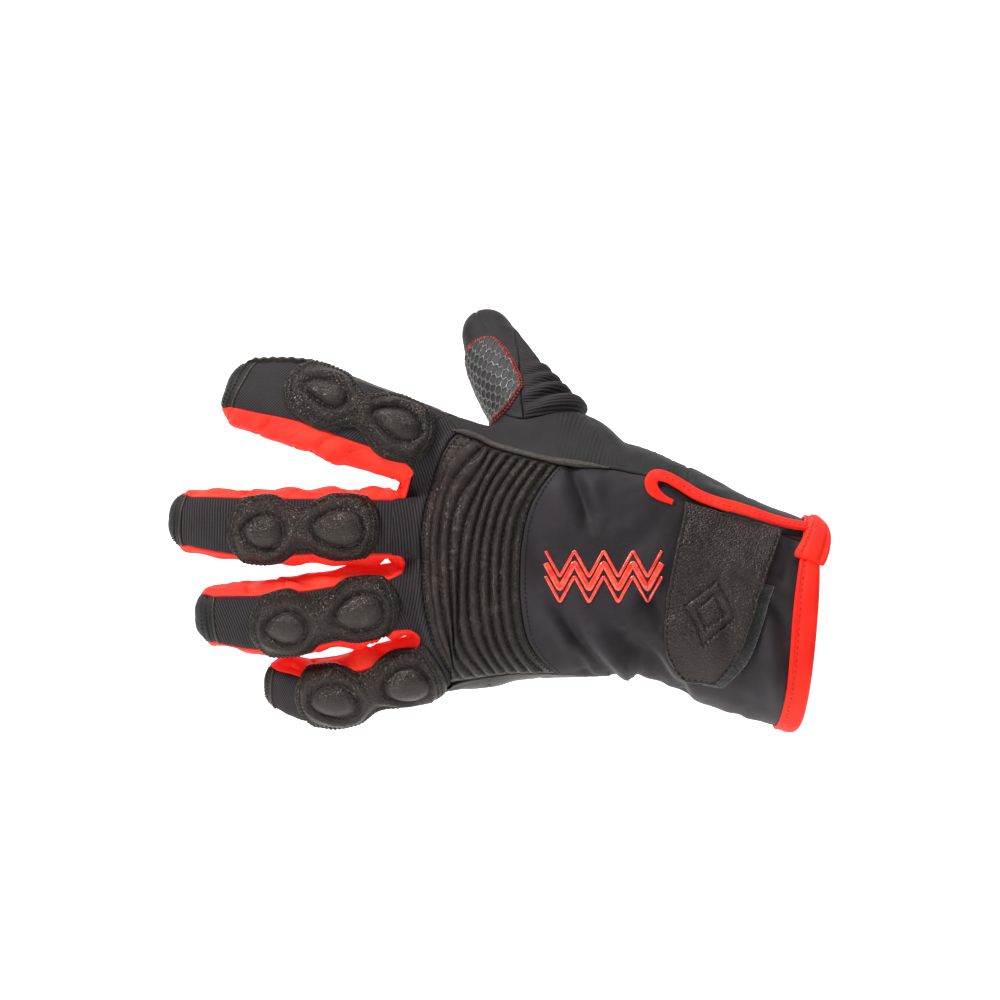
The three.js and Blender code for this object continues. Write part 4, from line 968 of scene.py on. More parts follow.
def finish_of(name):
    """The named finish, made the first time it is asked for."""
    makers = {
        # knit: the dark colour is painted shade in the rib valleys, the light colour the lit rib crowns
        "knit": lambda: knit_cloth("ribbed_knit", colour(0.0008, 0.0007, 0.0008), colour(0.042, 0.033, 0.037)),
        "shell": lambda: twill_cloth("softshell", colour(0.0085, 0.0062, 0.0078), colour(0.0225, 0.016, 0.0195)),
        "cap": lambda: twill_cloth("smooth_cloth", colour(0.0042, 0.0035, 0.0036), colour(0.0125, 0.01, 0.0105), 0.5),
        # each leather's third colour is a painted highlight, laid in specks on the pebble tops
        "leather": lambda: leather_hide("pad_leather", colour(0.0014, 0.0011, 0.001), colour(0.0125, 0.0088, 0.0076),
                                        colour(0.11, 0.078, 0.061), 0.32, 1050.0, 0.38),
        "rib": lambda: leather_hide("rib_leather", colour(0.0012, 0.0009, 0.0008), colour(0.012, 0.0084, 0.0073),
                                    colour(0.16, 0.115, 0.09), 0.3, 1350.0, 0.26),
        # dome leather: a lighter copy of the pad leather, a painted highlight on the domes
        "dome": lambda: leather_hide("dome_leather_highlit", colour(0.006, 0.005, 0.0046), colour(0.021, 0.0172, 0.0155),
                                     colour(0.08, 0.064, 0.055), 0.26, 1200.0, 0.24),
        "palm": lambda: leather_hide("palm_leather", colour(0.004, 0.0038, 0.0037), colour(0.016, 0.0148, 0.014),
                                     colour(0.045, 0.04, 0.036), 0.44, 1100.0, 0.18),
        "trim": lambda: leather_hide("trim_leather", colour(0.008, 0.0072, 0.0066), colour(0.03, 0.026, 0.023),
                                     colour(0.1, 0.088, 0.078), 0.36, 1300.0, 0.14),
        "strap": lambda: leather_hide("strap_leather", colour(0.0036, 0.0029, 0.0027), colour(0.012, 0.0096, 0.009),
                                      colour(0.03, 0.0235, 0.021), 0.34, 1000.0, 0.3),
        # the red cloths' glow strength is painted light that keeps their shaded creases bright red
        "red": lambda: red_cloth("red_gusset", colour(0.46, 0.018, 0.012), colour(0.74, 0.05, 0.026), 0.3),
        "binding": lambda: red_cloth("red_binding", colour(0.5, 0.012, 0.006), colour(0.68, 0.024, 0.01), 0.24),
        "black_thread": lambda: thread("black_thread", colour(0.004, 0.0036, 0.0034)),
        "red_thread": lambda: thread("red_thread", colour(0.42, 0.03, 0.018), 0.35),
        "grip": lambda: hexagon_grip("hexagon_grip"),
        "hook": lambda: loop_fuzz("hook_tape"),
        "ink": lambda: print_ink("raised_print"),
        "floor": lambda: floor_paint("pale_floor"),
    }
    if name not in FINISHES:
        FINISHES[name] = makers[name]()
    return FINISHES[name]


# The pieces

NAMES = [d[0] for d in DIGITS]
KNIT_PITCH = 1.15
GRIP_PITCH = 3.4
CAP_SHARES = (0.8, 0.835, 0.8, 0.82)


def knit_ribs(ribs, height=0.28):
    """Rounded ribs at a distance counted in ribs: a bent cosine, so that the valleys stay narrow."""
    return height * (np.abs(np.cos(np.pi * ribs)) ** 0.7 - 1)


def make_fingers(settings):
    """Each finger: ribbed knit over its back, a smooth cap over its tip, creased leather below."""
    for i, name in enumerate(NAMES):
        cap = CAP_SHARES[i]
        skin = Skin(lambda s, t, i=i, cap=cap: on_back(i, s * cap, t), (30, 9), (0.24, 0.8), joined_start=True)
        soft = 0.35 * ripple(skin.p, 26, 3 + i) * smooth(skin.edge, 0, 6)
        ribs = skin.a / KNIT_PITCH
        panel(f"{name}_knit_back", skin, knit_ribs(ribs) + soft, KNIT, finish_of("knit"), ribs=ribs)

        skin = Skin(lambda s, t, i=i, cap=cap: on_back(i, mix(cap, 1, s), t), (12, 9), (0.4, 0.5))
        tuck = -0.3 * np.exp(-((skin.a - 2.9) / 0.5) ** 2)
        panel(f"{name}_tip_cap", skin, tuck + 0.3 * ripple(skin.p, 11, 30 + i) * smooth(skin.edge, 0, 3),
              CLOTH, finish_of("cap"))

        skin = Skin(lambda s, t, i=i: on_palm_side(i, s, t), (30, 13), (0.7, 0.8))
        wrinkle = (-0.5 * smooth(crease(skin.p, 17, 50 + i), 0.3, 0.0) + 0.25 * ripple(skin.p, 20, 60 + i))
        wrinkle = wrinkle * smooth(skin.edge, 0, 4)
        if i == 0:
            tip = smooth(skin.s, 0.45, 0.6) * (1 - smooth(skin.s, 0.8, 0.88))
            wrinkle = wrinkle + (1.9 + 0.3 * np.cos(skin.a * 1.6)) * tip * np.exp(-((skin.t / 0.09) ** 2))
        panel(f"{name}_palm_side", skin, wrinkle, LEATHER, finish_of("palm"))


def cap_seams(settings):
    """The corded seam at each fingertip: a round cord over the finger's back where the cap starts."""
    cords, rows = [], []
    t = np.linspace(0.02, 0.98, 60)
    lap = np.linspace(0, 2 * np.pi, 10, endpoint=False)
    for i in range(4):
        p = on_back(i, np.full(60, CAP_SHARES[i]), t)
        n = unit(slope_at(p))
        ahead = unit(np.gradient(p, axis=0))
        outline = np.stack([0.55 * np.cos(lap), 0.4 * np.sin(lap)], 1)
        cords.append(sweep(p + n * 0.05, np.cross(ahead, n), n, outline))
        for q in (0.035, 0.065):
            p = on_back(i, np.full(60, CAP_SHARES[i] + q), t)
            rows.append(stitches(p, unit(slope_at(p)), 1.6, 1.1, 0.3, 0.0))
    add_piece("fingertip_cords", joined(cords), finish_of("trim"))
    add_piece("fingertip_stitching", joined(rows), finish_of("black_thread"))


# How far each web bulges beside its crotch, and over what length of the gusset.
WEB_FILL = [(3.3, 12), (2.6, 28), (2.3, 34)]


def make_gussets(settings):
    """Red webs up one finger's side and down the next: noise, creases and a bulge by the crotch."""
    for i, name in enumerate(("index_middle_gusset", "middle_ring_gusset", "ring_little_gusset")):
        skin = Skin(lambda s, t, i=i: gusset_place(i, s, t), (61, 9), (0.5, 0.45))
        calm = smooth(skin.edge, 0, 3.0)
        sharp = smooth(crease(skin.p, 34, 90 + i), 0.42, 0.0) + 0.35 * smooth(crease(skin.p, 21, 95 + i), 0.25, 0.0)
        slack = 1.0 * ripple(skin.p * np.array([0.8, 0.6, 0.6]), 20, 70 + i)
        pulled = 0.5 * np.sin(np.pi * skin.t) * np.sin(2 * np.pi * skin.a / 15.0 + 3 * skin.t + i)
        fill, reach = WEB_FILL[i]
        beside = np.abs(skin.a - skin.a[-1:] / 2)
        web = fill * np.exp(-((beside / reach) ** 2)) * smooth(beside, 0, 3) * np.sin(np.pi * skin.t) ** 0.6
        height = calm * (slack - 1.6 * sharp + pulled - 0.2) + web
        panel(name, skin, height, CLOTH, finish_of("red"))


def make_back(settings):
    """The knuckle knit, the ribbed leather as half sine waves side by side, and the folded softshell."""
    def yoke(s, t):
        line = root_line(t * 28, on_back, 0)
        turn = hand_turn(line)
        top, low = float(top_turn(0.9)), float(low_turn(0.9))
        down = np.clip((top - turn) / (top - low), 0, 1)
        down = np.where(t <= 0, 0.0, np.where(t >= 1, 1.0, down))
        to = on_back_of_hand(rib_start, rib_start, 0.0, down)
        inside = (s > 0) & (s < 1)
        out = mix(line, to, s[:, None])
        out[inside] = settle(out[inside])
        return out
    skin = Skin(yoke, (9, 57), (0.25, 0.7), joined_start=True)
    ribs = (skin.p[..., 0] + 0.005 * (skin.p[..., 2] - 29) ** 2) / KNIT_PITCH
    band = smooth(skin.a_left, 3.2, 2.2) * smooth(skin.a_left, 0.2, 1.0)
    panel("knuckle_knit", skin, knit_ribs(ribs) * (1 - 0.7 * band) + 0.2 * band, KNIT, finish_of("knit"),
          ribs=ribs)

    skin = Skin(lambda s, t: on_back_of_hand(rib_start, rib_end, s, t), (14, 27), (0.26, 0.5))
    q = (skin.s - RIB_MARGIN) / (1 - 2 * RIB_MARGIN) * RIB_COUNT
    inside = smooth(q, -0.02, 0.05) * smooth(q, RIB_COUNT + 0.02, RIB_COUNT - 0.05)
    across = smooth(np.minimum(skin.b, skin.b_left), 0.5, 4.5)
    uneven = 1 + 0.07 * ripple(skin.p, 30, 5)
    ridge = settings.rib_height * np.abs(np.sin(np.pi * np.clip(q, 0, RIB_COUNT))) ** 0.62 * inside * across * uneven
    pinch = 0.18 * np.cos(2 * np.pi * skin.b / 2.1) * np.exp(-((q - np.round(q)) / 0.2) ** 2) * inside
    panel("ribbed_knuckle_panel", skin, ridge + pinch - 0.1, LEATHER, finish_of("rib"))
    rows = []
    t = np.linspace(0.02, 0.98, 160)
    for n in range(RIB_COUNT + 1):
        s = np.full(160, RIB_MARGIN + (1 - 2 * RIB_MARGIN) * n / RIB_COUNT)
        p, up = skin.sample(s, t, 0.12)
        rows.append(stitches(p, up, 2.0, 1.3, 0.34, 0.0))
    for s in (0.022, 0.974):
        p, up = skin.sample(np.full(160, s), t, 0.05)
        rows.append(stitches(p, up, 1.8, 1.2, 0.34, 0.0))
    add_piece("rib_stitching", joined(rows), finish_of("black_thread"))

    skin = Skin(lambda s, t: on_back_of_hand(rib_end, wall_end, s, t), (40, 28), (0.55, 0.6))
    panel("back_shell", skin, shell_folds(skin.p) * smooth(skin.b_left, 0, 5) + 0.0, CLOTH, finish_of("shell"))
    s = np.full(200, 1.9 / float(skin.a[-1].mean()))
    p, up = skin.sample(s, np.linspace(0.01, 0.99, 200), shell_folds(skin.p) * smooth(skin.b_left, 0, 5))
    add_piece("shell_edge_stitching", stitches(p, up, 1.8, 1.2, 0.3, 0.0), finish_of("black_thread"))


FOLD_STRENGTH = 1.75
# Folds of the softshell back: their two ends as distances along -X and up, then height and width.
FOLDS = [
    ((90, 63), (87, 41), -2.0, 2.6),
    ((95, 58), (93, 44), 0.9, 3.4),
    ((82, 60), (80, 45), 0.8, 4.0),
    ((102, 13), (85, -15), 1.7, 3.6),
    ((95, 8), (78, -16), -2.3, 2.9),
    ((87, 2), (64, -21), 2.7, 4.7),
    ((70, 0), (53, -21), -2.3, 3.6),
    ((57, -2), (42, -27), 1.8, 3.6),
    ((36, 10), (25, -29), -2.1, 4.0),
    ((19, 21), (11, -31), 1.8, 4.3),
    ((78, 40), (62, 32), 0.8, 5.0),
    ((76, 30), (60, 40), -0.8, 4.0),
    ((66, 16), (56, 2), -1.2, 3.6),
    ((62, 24), (70, 4), 0.9, 4.0),
    ((30, 31), (9, 20), -0.9, 2.4),
    ((30, 26), (8, 12), 0.8, 3.0),
    ((29, 20), (9, 3), -1.0, 2.6),
    ((108, 40), (100, 20), -0.7, 5.0),
    ((50, -14), (44, -34), -1.4, 2.6),
    ((78, -10), (72, -28), -1.6, 2.6),
    ((90, -4), (86, -20), -1.2, 2.4),
    ((8, 28), (6, -8), 0.8, 3.0),
]


def shell_folds(p):
    """The folds' relief: each a Gaussian ridge or furrow on a line, sharper on its furrow side."""
    here = np.stack([-p[..., 0], p[..., 2]], -1)
    calm = (smooth(here[..., 0], 6, 14) * (1 - smooth(here[..., 0], 104, 116))
            * (1 - smooth(p[..., 1], 6, 24)))
    total = 0.5 * ripple(p, 34, 11) + 0.16 * ripple(p, 13, 12)
    for start, end, height, width in FOLDS:
        run = np.subtract(end, start).astype(float)
        off = here - np.array(start, float)
        t = np.clip((off @ run) / (run @ run), 0, 1)
        away = (off[..., 0] * run[1] - off[..., 1] * run[0]) / np.hypot(*run)
        bent = away + 1.6 * np.sin(3 * t + start[0])
        past = np.linalg.norm(off - t[..., None] * run, axis=-1)
        reach = np.hypot(bent, np.maximum(past - np.abs(away), 0)) / width
        total = total + FOLD_STRENGTH * height * np.exp(-reach * reach) * np.sin(np.pi * mix(0.12, 0.88, t))
    return calm * total


# The thumb's root seam: its share of the way, its slant, and its rise over the web to the index
# finger, with the angle where that rise is highest and how narrow it is.
THUMB_ROOT = 0.415
THUMB_SLANT = 0.045
WEB_RISE = 0.08
WEB_TURN = 143
WEB_NARROW = 11.4
KNIT_TO = 74
KNIT_EDGE = [(0.0, -104), (0.2, -84), (0.42, -58), (0.62, -38), (0.76, -4), (0.88, 25), (1.0, 45)]
# Gathers of the thumb's knit: millimetres from its root, height and width.
GATHERS = [(3.2, 3.4, 2.7), (7.2, -1.7, 1.5), (10.6, 1.9, 2.3), (14.2, -1.2, 1.4), (17.6, 1.3, 2.2),
           (21.0, -0.9, 1.4), (24.5, 1.0, 2.2), (29.0, -0.5, 1.6)]


def on_thumb(q, degrees):
    """Skin of the thumb at q from its slanting root seam, higher over the web, to its tip."""
    degrees = np.asarray(degrees, float)
    over_web = WEB_RISE * np.exp(WEB_NARROW * (np.cos(np.radians(degrees + WEB_TURN)) - 1))
    return on_digit(THUMB_LIMB, mix(THUMB_ROOT - THUMB_SLANT * np.cos(np.radians(degrees)) + over_web, 1, q), degrees)


def make_thumb(settings):
    """The thumb: knit with gathers as a sum of Gaussian ridges, and its smooth other side."""
    def knit_from(q):
        return read_table(KNIT_EDGE, q, 1)
    skin = Skin(lambda s, t: on_thumb(s, mix(KNIT_TO, knit_from(s), t)), (30, 13), (0.24, 0.7))
    angle = mix(KNIT_TO, knit_from(skin.s), skin.t)
    facing = smooth(np.cos(np.radians(angle + 30)), -0.2, 0.7)
    gather = 0
    bent = skin.a + 2.2 * np.sin(2 * np.pi * skin.t + 0.6) * smooth(skin.a, 0, 6)
    for at, height, width in GATHERS:
        gather = gather + height * np.exp(-(((bent - at) / width) ** 2))
    gather = gather * facing * smooth(skin.a, 0, 2.5) * np.sin(np.pi * np.clip(skin.t, 0, 1)) ** 0.5
    ribs = (skin.a + 1.5 * np.sin(np.pi * skin.t)) / 1.1
    panel("thumb_knit_back", skin, gather + knit_ribs(ribs), KNIT, finish_of("knit"), ribs=ribs)

    skin = Skin(lambda s, t: on_thumb(s, mix(KNIT_TO, 360 + knit_from(s), t)), (30, 19), (0.5, 0.5))
    angle = mix(KNIT_TO, 360 + knit_from(skin.s), skin.t)
    middle_seam = -0.6 * np.exp(-(((angle - 268) / 3.5) ** 2)) * smooth(skin.s, 0.66, 0.7)
    soft = 0.3 * ripple(skin.p, 16, 21) * smooth(skin.edge, 0, 4)
    panel("thumb_palm_side", skin, soft + middle_seam, LEATHER, finish_of("cap"))


def beside_digit(limb, share, degrees, along, across):
    """Skin at offsets in millimetres from a share of a digit's way and an angle."""
    last = len(limb.broad) - 1
    near = np.clip(np.round(np.clip(share, 0, 1) * last).astype(int), 0, last)
    radius = 0.52 * (limb.broad[near] + limb.deep[near])
    return on_digit(limb, share + along / limb.way, degrees + np.degrees(across / radius))


def in_oval(s, t, squareness=0.0):
    """The unit square pulled into a rounded oval, as offsets from -1 to 1."""
    u, v = 2 * s - 1, 2 * t - 1
    rounding = 0.5 * (1 - squareness)
    return u * np.sqrt(1 - rounding * v * v), v * np.sqrt(1 - rounding * u * u)


# Each dome: its name, its end of the pad, its length and its breadth.
DOMES = (("outer", 1, 15.2, 11.8), ("inner", -1, 17.4, 12.6))
# How far each pad's outer and inner dome lie up from the pad's middle line.
DOME_RISE = ((3.0, 0.6), (-0.8, 0.0), (-1.6, -0.3), (-0.8, -3.0))


def egg(x, y, end, length, breadth):
    """How far out a place lies from a dome's middle, 1 on its rim: narrower towards the tip."""
    u = (x - end * DOME_SPACING / 2) / (length / 2)
    return np.hypot(u, y / (breadth / 2 * (1 - 0.16 * np.clip(u, -1.4, 1.4))))


def make_pads(settings):
    """Knuckle pads: rounded ovals pinched at the waist, ringed round two egg-shaped domes."""
    rows = []
    for i, (name, _, _, _, pad, turn, _) in enumerate(DIGITS):
        upper, lower = STARTS[i]
        middle = mix((upper + lower) / 2, 1, pad)

        def offsets(s, t):
            u, v = in_oval(s, t, 0.35)
            waist = 1 - PAD_WAIST * np.exp(-((u / 0.26) ** 2))
            return u * PAD_LENGTH / 2, v * waist * PAD_BREADTH / 2

        def beside(x, y, i=i, middle=middle, turn=turn):
            outer, inner = DOME_RISE[i]
            return beside_digit(FINGERS[i], middle, turn, x, y + mix(inner, outer, x / DOME_SPACING + 0.5))
        skin = Skin(lambda s, t: beside(*offsets(s, t)), (29, 17), (0.36, 0.36), gap=0.0)
        x, y = offsets(skin.s, skin.t)
        rho = np.minimum(*(egg(x, y, *dome[1:]) for dome in DOMES))
        ring = 1.5 * np.exp(-(((rho - 1.5) / 0.36) ** 2)) * smooth(skin.edge, 3.0, 6.0)
        dip = -0.9 * np.exp(-(((rho - 1.04) / 0.09) ** 2)) + 0.8 * smooth(rho, 1.25, 0.8)
        rim = -0.22 * np.exp(-(((skin.edge - 1.5) / 0.35) ** 2)) - 0.22 * np.exp(-(((skin.edge - 3.0) / 0.35) ** 2))
        pucker = 0.12 * np.cos(2 * np.pi * (skin.a + skin.b) / 1.9) * np.exp(-(((skin.edge - 2.3) / 1.3) ** 2))
        height = 2.5 + ring + dip + rim + pucker + 0.14 * ripple(skin.p, 9, 40 + i)
        height = height - 0.9 * smooth(skin.edge, 2.6, 0.3)
        panel(f"{name}_knuckle_pad", skin, height, 0.0, finish_of("leather"),
              rolled=skin.roll(1.1))
        for inset in (1.55, 3.05):
            a, b = inset / PAD_LENGTH, inset / (PAD_BREADTH * 0.8)
            k = np.linspace(0, 1, 90)
            line = np.concatenate([
                np.stack([mix(a, 1 - a, k), np.full(90, b)], 1), np.stack([np.full(90, 1 - a), mix(b, 1 - b, k)], 1),
                np.stack([mix(1 - a, a, k), np.full(90, 1 - b)], 1), np.stack([np.full(90, a), mix(1 - b, b, k)], 1)])
            p, up = skin.sample(line[:, 0], line[:, 1], height + skin.roll(1.1))
            rows.append(stitches(p, up, 1.65, 1.05, 0.32, 0.0))
        for part, end, length, breadth in DOMES:
            def crown(s, t, end=end, length=length, breadth=breadth, beside=beside):
                u, v = in_oval(s, t)
                return beside(end * DOME_SPACING / 2 + u * length / 2, v * (1 - 0.16 * u) * breadth / 2)
            dome = Skin(crown, (13, 13), (0.42, 0.42), gap=0.0, edges=False)
            u, v = in_oval(dome.s, dome.t)
            out = np.clip(np.hypot(u, v), 0, 1)
            raised = 2.3 + settings.dome_height * (1 - out ** 2.6) ** 0.75
            panel(f"{name}_{part}_dome", dome, raised, 0.0, finish_of("dome"), rolled=0 * out)
    add_piece("pad_stitching", joined(rows), finish_of("black_thread"))


GRIP_AT = 0.64
GRIP_TURN = -129


def make_grip(settings):
    """The thumb's grip patch: an oval whose raised lines part it into hexagons."""
    def place(s, t):
        u, v = in_oval(s, t, 0.3)
        return beside_digit(THUMB_LIMB, GRIP_AT, GRIP_TURN, u * GRIP_LENGTH / 2, v * GRIP_BREADTH / 2)
    skin = Skin(place, (21, 17), (0.3, 0.3), gap=0.0)
    pitch = GRIP_PITCH

    def to_edge(dx, dy):
        x = np.mod(skin.a / pitch + dx, 3 ** 0.5) - 3 ** 0.5 / 2
        y = np.mod(skin.b / pitch + dy, 1.0) - 0.5
        return np.maximum(np.abs(y), np.abs(x) * 3 ** 0.5 / 2 + np.abs(y) / 2)
    line = smooth(np.minimum(to_edge(0, 0), to_edge(3 ** 0.5 / 2, 0.5)), 0.38, 0.46)
    panel("thumb_grip_patch", skin, 1.1 + 0.32 * line, 0.0, finish_of("grip"), rolled=skin.roll(0.7))
    rows = []
    k = np.linspace(0, 1, 80)
    for inset in (-0.5, 0.8):
        a, b = inset / GRIP_LENGTH, inset / GRIP_BREADTH
        line = np.concatenate([
            np.stack([mix(a, 1 - a, k), np.full(80, b)], 1), np.stack([np.full(80, 1 - a), mix(b, 1 - b, k)], 1),
            np.stack([mix(1 - a, a, k), np.full(80, 1 - b)], 1), np.stack([np.full(80, a), mix(1 - b, b, k)], 1)])
        u, v = in_oval(line[:, 0], line[:, 1], 0.3)
        p = beside_digit(THUMB_LIMB, GRIP_AT, GRIP_TURN, u * GRIP_LENGTH / 2, v * GRIP_BREADTH / 2)
        up = unit(slope_at(p))
        rows.append(stitches(p + up * (1.1 if inset > 0 else 0.6), up, 1.4, 1.05, 0.4, 0.0))
    add_piece("grip_stitching", joined(rows), finish_of("red_thread"))


THUMB_FROM = 2 / 13
THUMB_TO = 6 / 13
SIDE_TURN = 0.62
WRIST_AT = 0.44
START_AT = 0.868


def side_seam(s, way_round):
    """The seam of the side panel and the palm: over the web, round the thumb's root, to the cuff."""
    s = np.asarray(s, float)
    out = np.empty((len(s), 3))
    web, wrist = s < THUMB_FROM, s > THUMB_TO
    root = ~(web | wrist)
    if web.any():
        start, end = on_back(0, 0.0, 0.0)[0], on_thumb(0.0, 180.0)[0]
        out[web] = settle(mix(start, end, (s[web] / THUMB_FROM)[:, None]))
    if wrist.any():
        t = (s[wrist] - THUMB_TO) / (1 - THUMB_TO)
        edge = on_hand(mix(WRIST_AT, float(wall_end(SIDE_TURN)), t), SIDE_TURN)
        out[wrist] = settle(mix(on_thumb(0.0, 0.0)[0], edge, smooth(t, -0.1, 0.25)[:, None]))
    if root.any():
        t = (s[root] - THUMB_FROM) / (THUMB_TO - THUMB_FROM)
        out[root] = on_thumb(np.zeros(root.sum()), mix(-180.0, 0.0, t) if way_round < 0 else mix(180.0, 0.0, t))
    return out


def low_seam(s):
    """The seam along the little finger's side."""
    root = on_back(3, 0.0, 1.0)
    reach = -root[0, 0] / HAND_LENGTH
    share = np.full(len(s), reach)
    for _ in range(5):
        share = mix(reach, wall_end(low_turn(share)), s)
    return on_hand(share, mix(hand_turn(root)[0], low_turn(share), smooth(s, 0, 0.12)))


def span_skin(a, b, t, swell):
    """The skin between two places, bulged out from the straight line between them."""
    out = unit(slope_at(a) + slope_at(b))
    bulge = swell * np.linalg.norm(b - a, axis=1) * np.sin(np.pi * t)
    return settle(mix(a, b, t[:, None]) + out * bulge[:, None])


def make_sides(settings):
    """The side panel and the palm: spans between seams, bulged by half a sine wave."""
    def side(s, t):
        a = on_back_of_hand(rib_start, wall_end, s, 0.0)
        b = side_seam(s, -1)
        out = span_skin(a, b, t, 0.085)
        out[t <= 0], out[t >= 1] = a[t <= 0], b[t >= 1]
        last = s >= 1
        turn = mix(float(top_turn(WALL_END)), SIDE_TURN, t[last])
        out[last] = on_hand(wall_end(turn), turn)
        return out
    skin = Skin(side, (40, 11), (0.5, 0.6))
    x = -skin.p[..., 0]
    banded = smooth(x, 44, 50) * (1 - smooth(x, 92, 100)) * smooth(skin.t, 0.0, 0.05)
    seam = -0.7 * np.exp(-(((x - 46.5) / 0.6) ** 2))
    tuck = 2.0 * np.exp(-(((x - 80) / 7) ** 2)) - 0.9 * np.exp(-(((x - 70) / 3.2) ** 2))
    relief = (knit_ribs((x + 0.25 * skin.p[..., 1]) / 1.6, 0.42) * banded + seam
              + (0.35 * ripple(skin.p, 24, 81) + tuck * smooth(skin.t, 0.25, 0.6)) * smooth(skin.edge, 0, 5))
    panel("thumb_side_panel", skin, relief, CLOTH, finish_of("cap"))

    def palm(s, t):
        line = root_line(t * 28, on_palm_side, 1)
        ends = root_line(np.array([0.0, 28.0]), on_palm_side, 1)[:, 2]
        across = np.clip(mix(t, (ends[0] - line[:, 2]) / (ends[0] - ends[1]), 0.8), 0, 1)
        across = np.where(t <= 0, 0.0, np.where(t >= 1, 1.0, across))
        upper = across < 0.5
        edge = np.where(upper[:, None], side_seam(s, 1), low_seam(s))
        middle = on_hand(mix(START_AT, float(wall_end(1)), s), 1.0)
        near = span_skin(edge, middle, 1 - np.abs(2 * across - 1), 0.16)
        blend = smooth(s, -0.02, mix(0.15, 0.24, np.minimum(4 * across, 1)))
        out = settle(mix(line, near, blend[:, None]))
        sides = (t <= 0) | (t >= 1)
        out[sides] = edge[sides]
        out[s <= 0] = line[s <= 0]
        last = s >= 1
        turn = np.where(across < 0.5, mix(SIDE_TURN, 1, 2 * across), mix(-1, float(low_turn(WALL_END)), 2 * across - 1))
        out[last] = on_hand(wall_end(turn[last]), turn[last])
        return out
    skin = Skin(palm, (40, 57), (0.8, 0.8))
    wrinkle = 0.55 * ripple(skin.p, 38, 91) - 0.7 * smooth(crease(skin.p, 30, 92), 0.28, 0.0)
    wrinkle = wrinkle * smooth(skin.edge, 0, 6)
    panel("palm", skin, wrinkle, LEATHER, finish_of("palm"))


def on_front(points):
    """Skin straight behind points of the front view, given as (x, z)."""
    points = np.asarray(points, float)
    share = np.clip(-points[:, 0] / HAND_LENGTH, -0.1, 0.86)
    centre = hand_section(share)[0]
    origin = np.stack([points[:, 0], centre[:, 1], points[:, 1]], 1)
    return cast(origin, np.broadcast_to(np.array([0.0, -1.0, 0.0]), origin.shape))


def smooth_path(points, spacing):
    """A cubic through the points, about evenly spaced."""
    points = np.asarray(points, float)
    length = np.linalg.norm(np.diff(points, axis=0), axis=1).sum()
    return spline_weights(len(points), np.linspace(0, 1, max(int(length / spacing), 4))) @ points


# The strap: share of its length, then its left and right edge as shares of its width.
STRAP_ROWS = [
    (0.0, -0.5, 0.5), (0.35, -0.51, 0.4), (0.6, -0.51, 0.355), (0.78, -0.45, 0.3), (0.9, -0.33, 0.22),
    (1.0, -0.12, 0.1),
]
STRAP_AT = (0.203, 0.385)
STRAP_LEAN = 9.7


def strap_point(down, across):
    """The strap's front view: down and across it from the middle of its slanting top end."""
    lean = np.radians(STRAP_LEAN)
    over = across * STRAP_WIDTH
    fall = down * STRAP_LENGTH + 0.13 * (1 - down) * over
    x = -STRAP_AT[0] * HAND_LENGTH + np.cos(lean) * over - np.sin(lean) * fall
    z = STRAP_AT[1] * HAND_BREADTH - np.sin(lean) * over - np.cos(lean) * fall
    return np.stack([x, z], -1)


def strap_down(s):
    """The share of the strap's length at a row: the rows lie closer at its rounded end."""
    return np.where(s < 0.5, 1.4 * s, mix(0.7, 1.0, 2 * s - 1)) * 1.025 - 0.04


def make_strap(settings):
    """The wrist strap with its stamp and stitching, and the hook tape that shows beside it."""
    def place(s, t):
        down = strap_down(s)
        left, right = read_table(STRAP_ROWS, down, 1), read_table(STRAP_ROWS, down, 2)
        return on_front(strap_point(down, mix(left, right, t)))
    skin = Skin(place, (30, 15), (0.45, 0.45), gap=0.0)
    folds = shell_folds(skin.p)
    calm = 0.55 * folds + 0.9
    lift = calm + 1.6 * smooth(skin.s, -0.1, 0.25) + 0.25 * ripple(skin.p, 30, 15)
    groove = -0.3 * np.exp(-(((skin.edge - 1.4) / 0.35) ** 2))
    top = lift + 2.3 + groove
    diamond = diamond_stamp(skin)
    height = top - 0.8 * diamond
    mesh = solid(skin.at(height + skin.roll(1.0)), skin.at(lift), np.stack([skin.a, skin.b], -1))
    add_piece("wrist_strap", mesh, finish_of("strap"), ["wrist_strap"])
    a, b, k = 1.45 / STRAP_LENGTH, 1.45 / (STRAP_WIDTH * 0.9), np.linspace(0, 1, 120)
    line = np.concatenate([
        np.stack([mix(0.03, 1 - a, k), np.full(120, b)], 1), np.stack([np.full(120, 1 - 1.4 * a), mix(b, 1 - b, k)], 1),
        np.stack([mix(1 - a, 0.03, k), np.full(120, 1 - b)], 1)])
    p, up = skin.sample(line[:, 0], line[:, 1], height)
    add_piece("strap_stitching", stitches(p, up, 2.2, 1.5, 0.36, 0.0), finish_of("black_thread"))

    def hook(s, t):
        down = mix(0.3, 0.99, s)
        right = read_table(STRAP_ROWS, down, 2)
        return on_front(strap_point(down * 1.03, mix(right - 0.3 * (1 - 0.6 * s), right + 0.1, t)))
    skin = Skin(hook, (20, 5), (0.4, 0.4), gap=0.0)
    pile = 0.35 * ripple(skin.p, 0.9, 61)
    lift = 0.55 * shell_folds(skin.p) + 0.9
    mesh = solid(skin.at(lift + 1.3 + pile + skin.roll(0.8)), skin.at(lift), np.stack([skin.a, skin.b], -1))
    add_piece("strap_hook_strip", mesh, finish_of("hook"), ["strap_hook_strip"])


def diamond_stamp(skin):
    """A pressed outline of two nested diamonds, 0 off its lines and 1 on them."""
    x = (skin.t - 0.52) * STRAP_WIDTH * 0.88
    y = (strap_down(skin.s) - 0.56) * STRAP_LENGTH
    reach = np.abs(x) / 9.5 + np.abs(y) / 12.0
    return (np.exp(-(((reach - 1) / 0.08) ** 2)) + np.exp(-(((reach - 0.55) / 0.08) ** 2))).clip(0, 1)


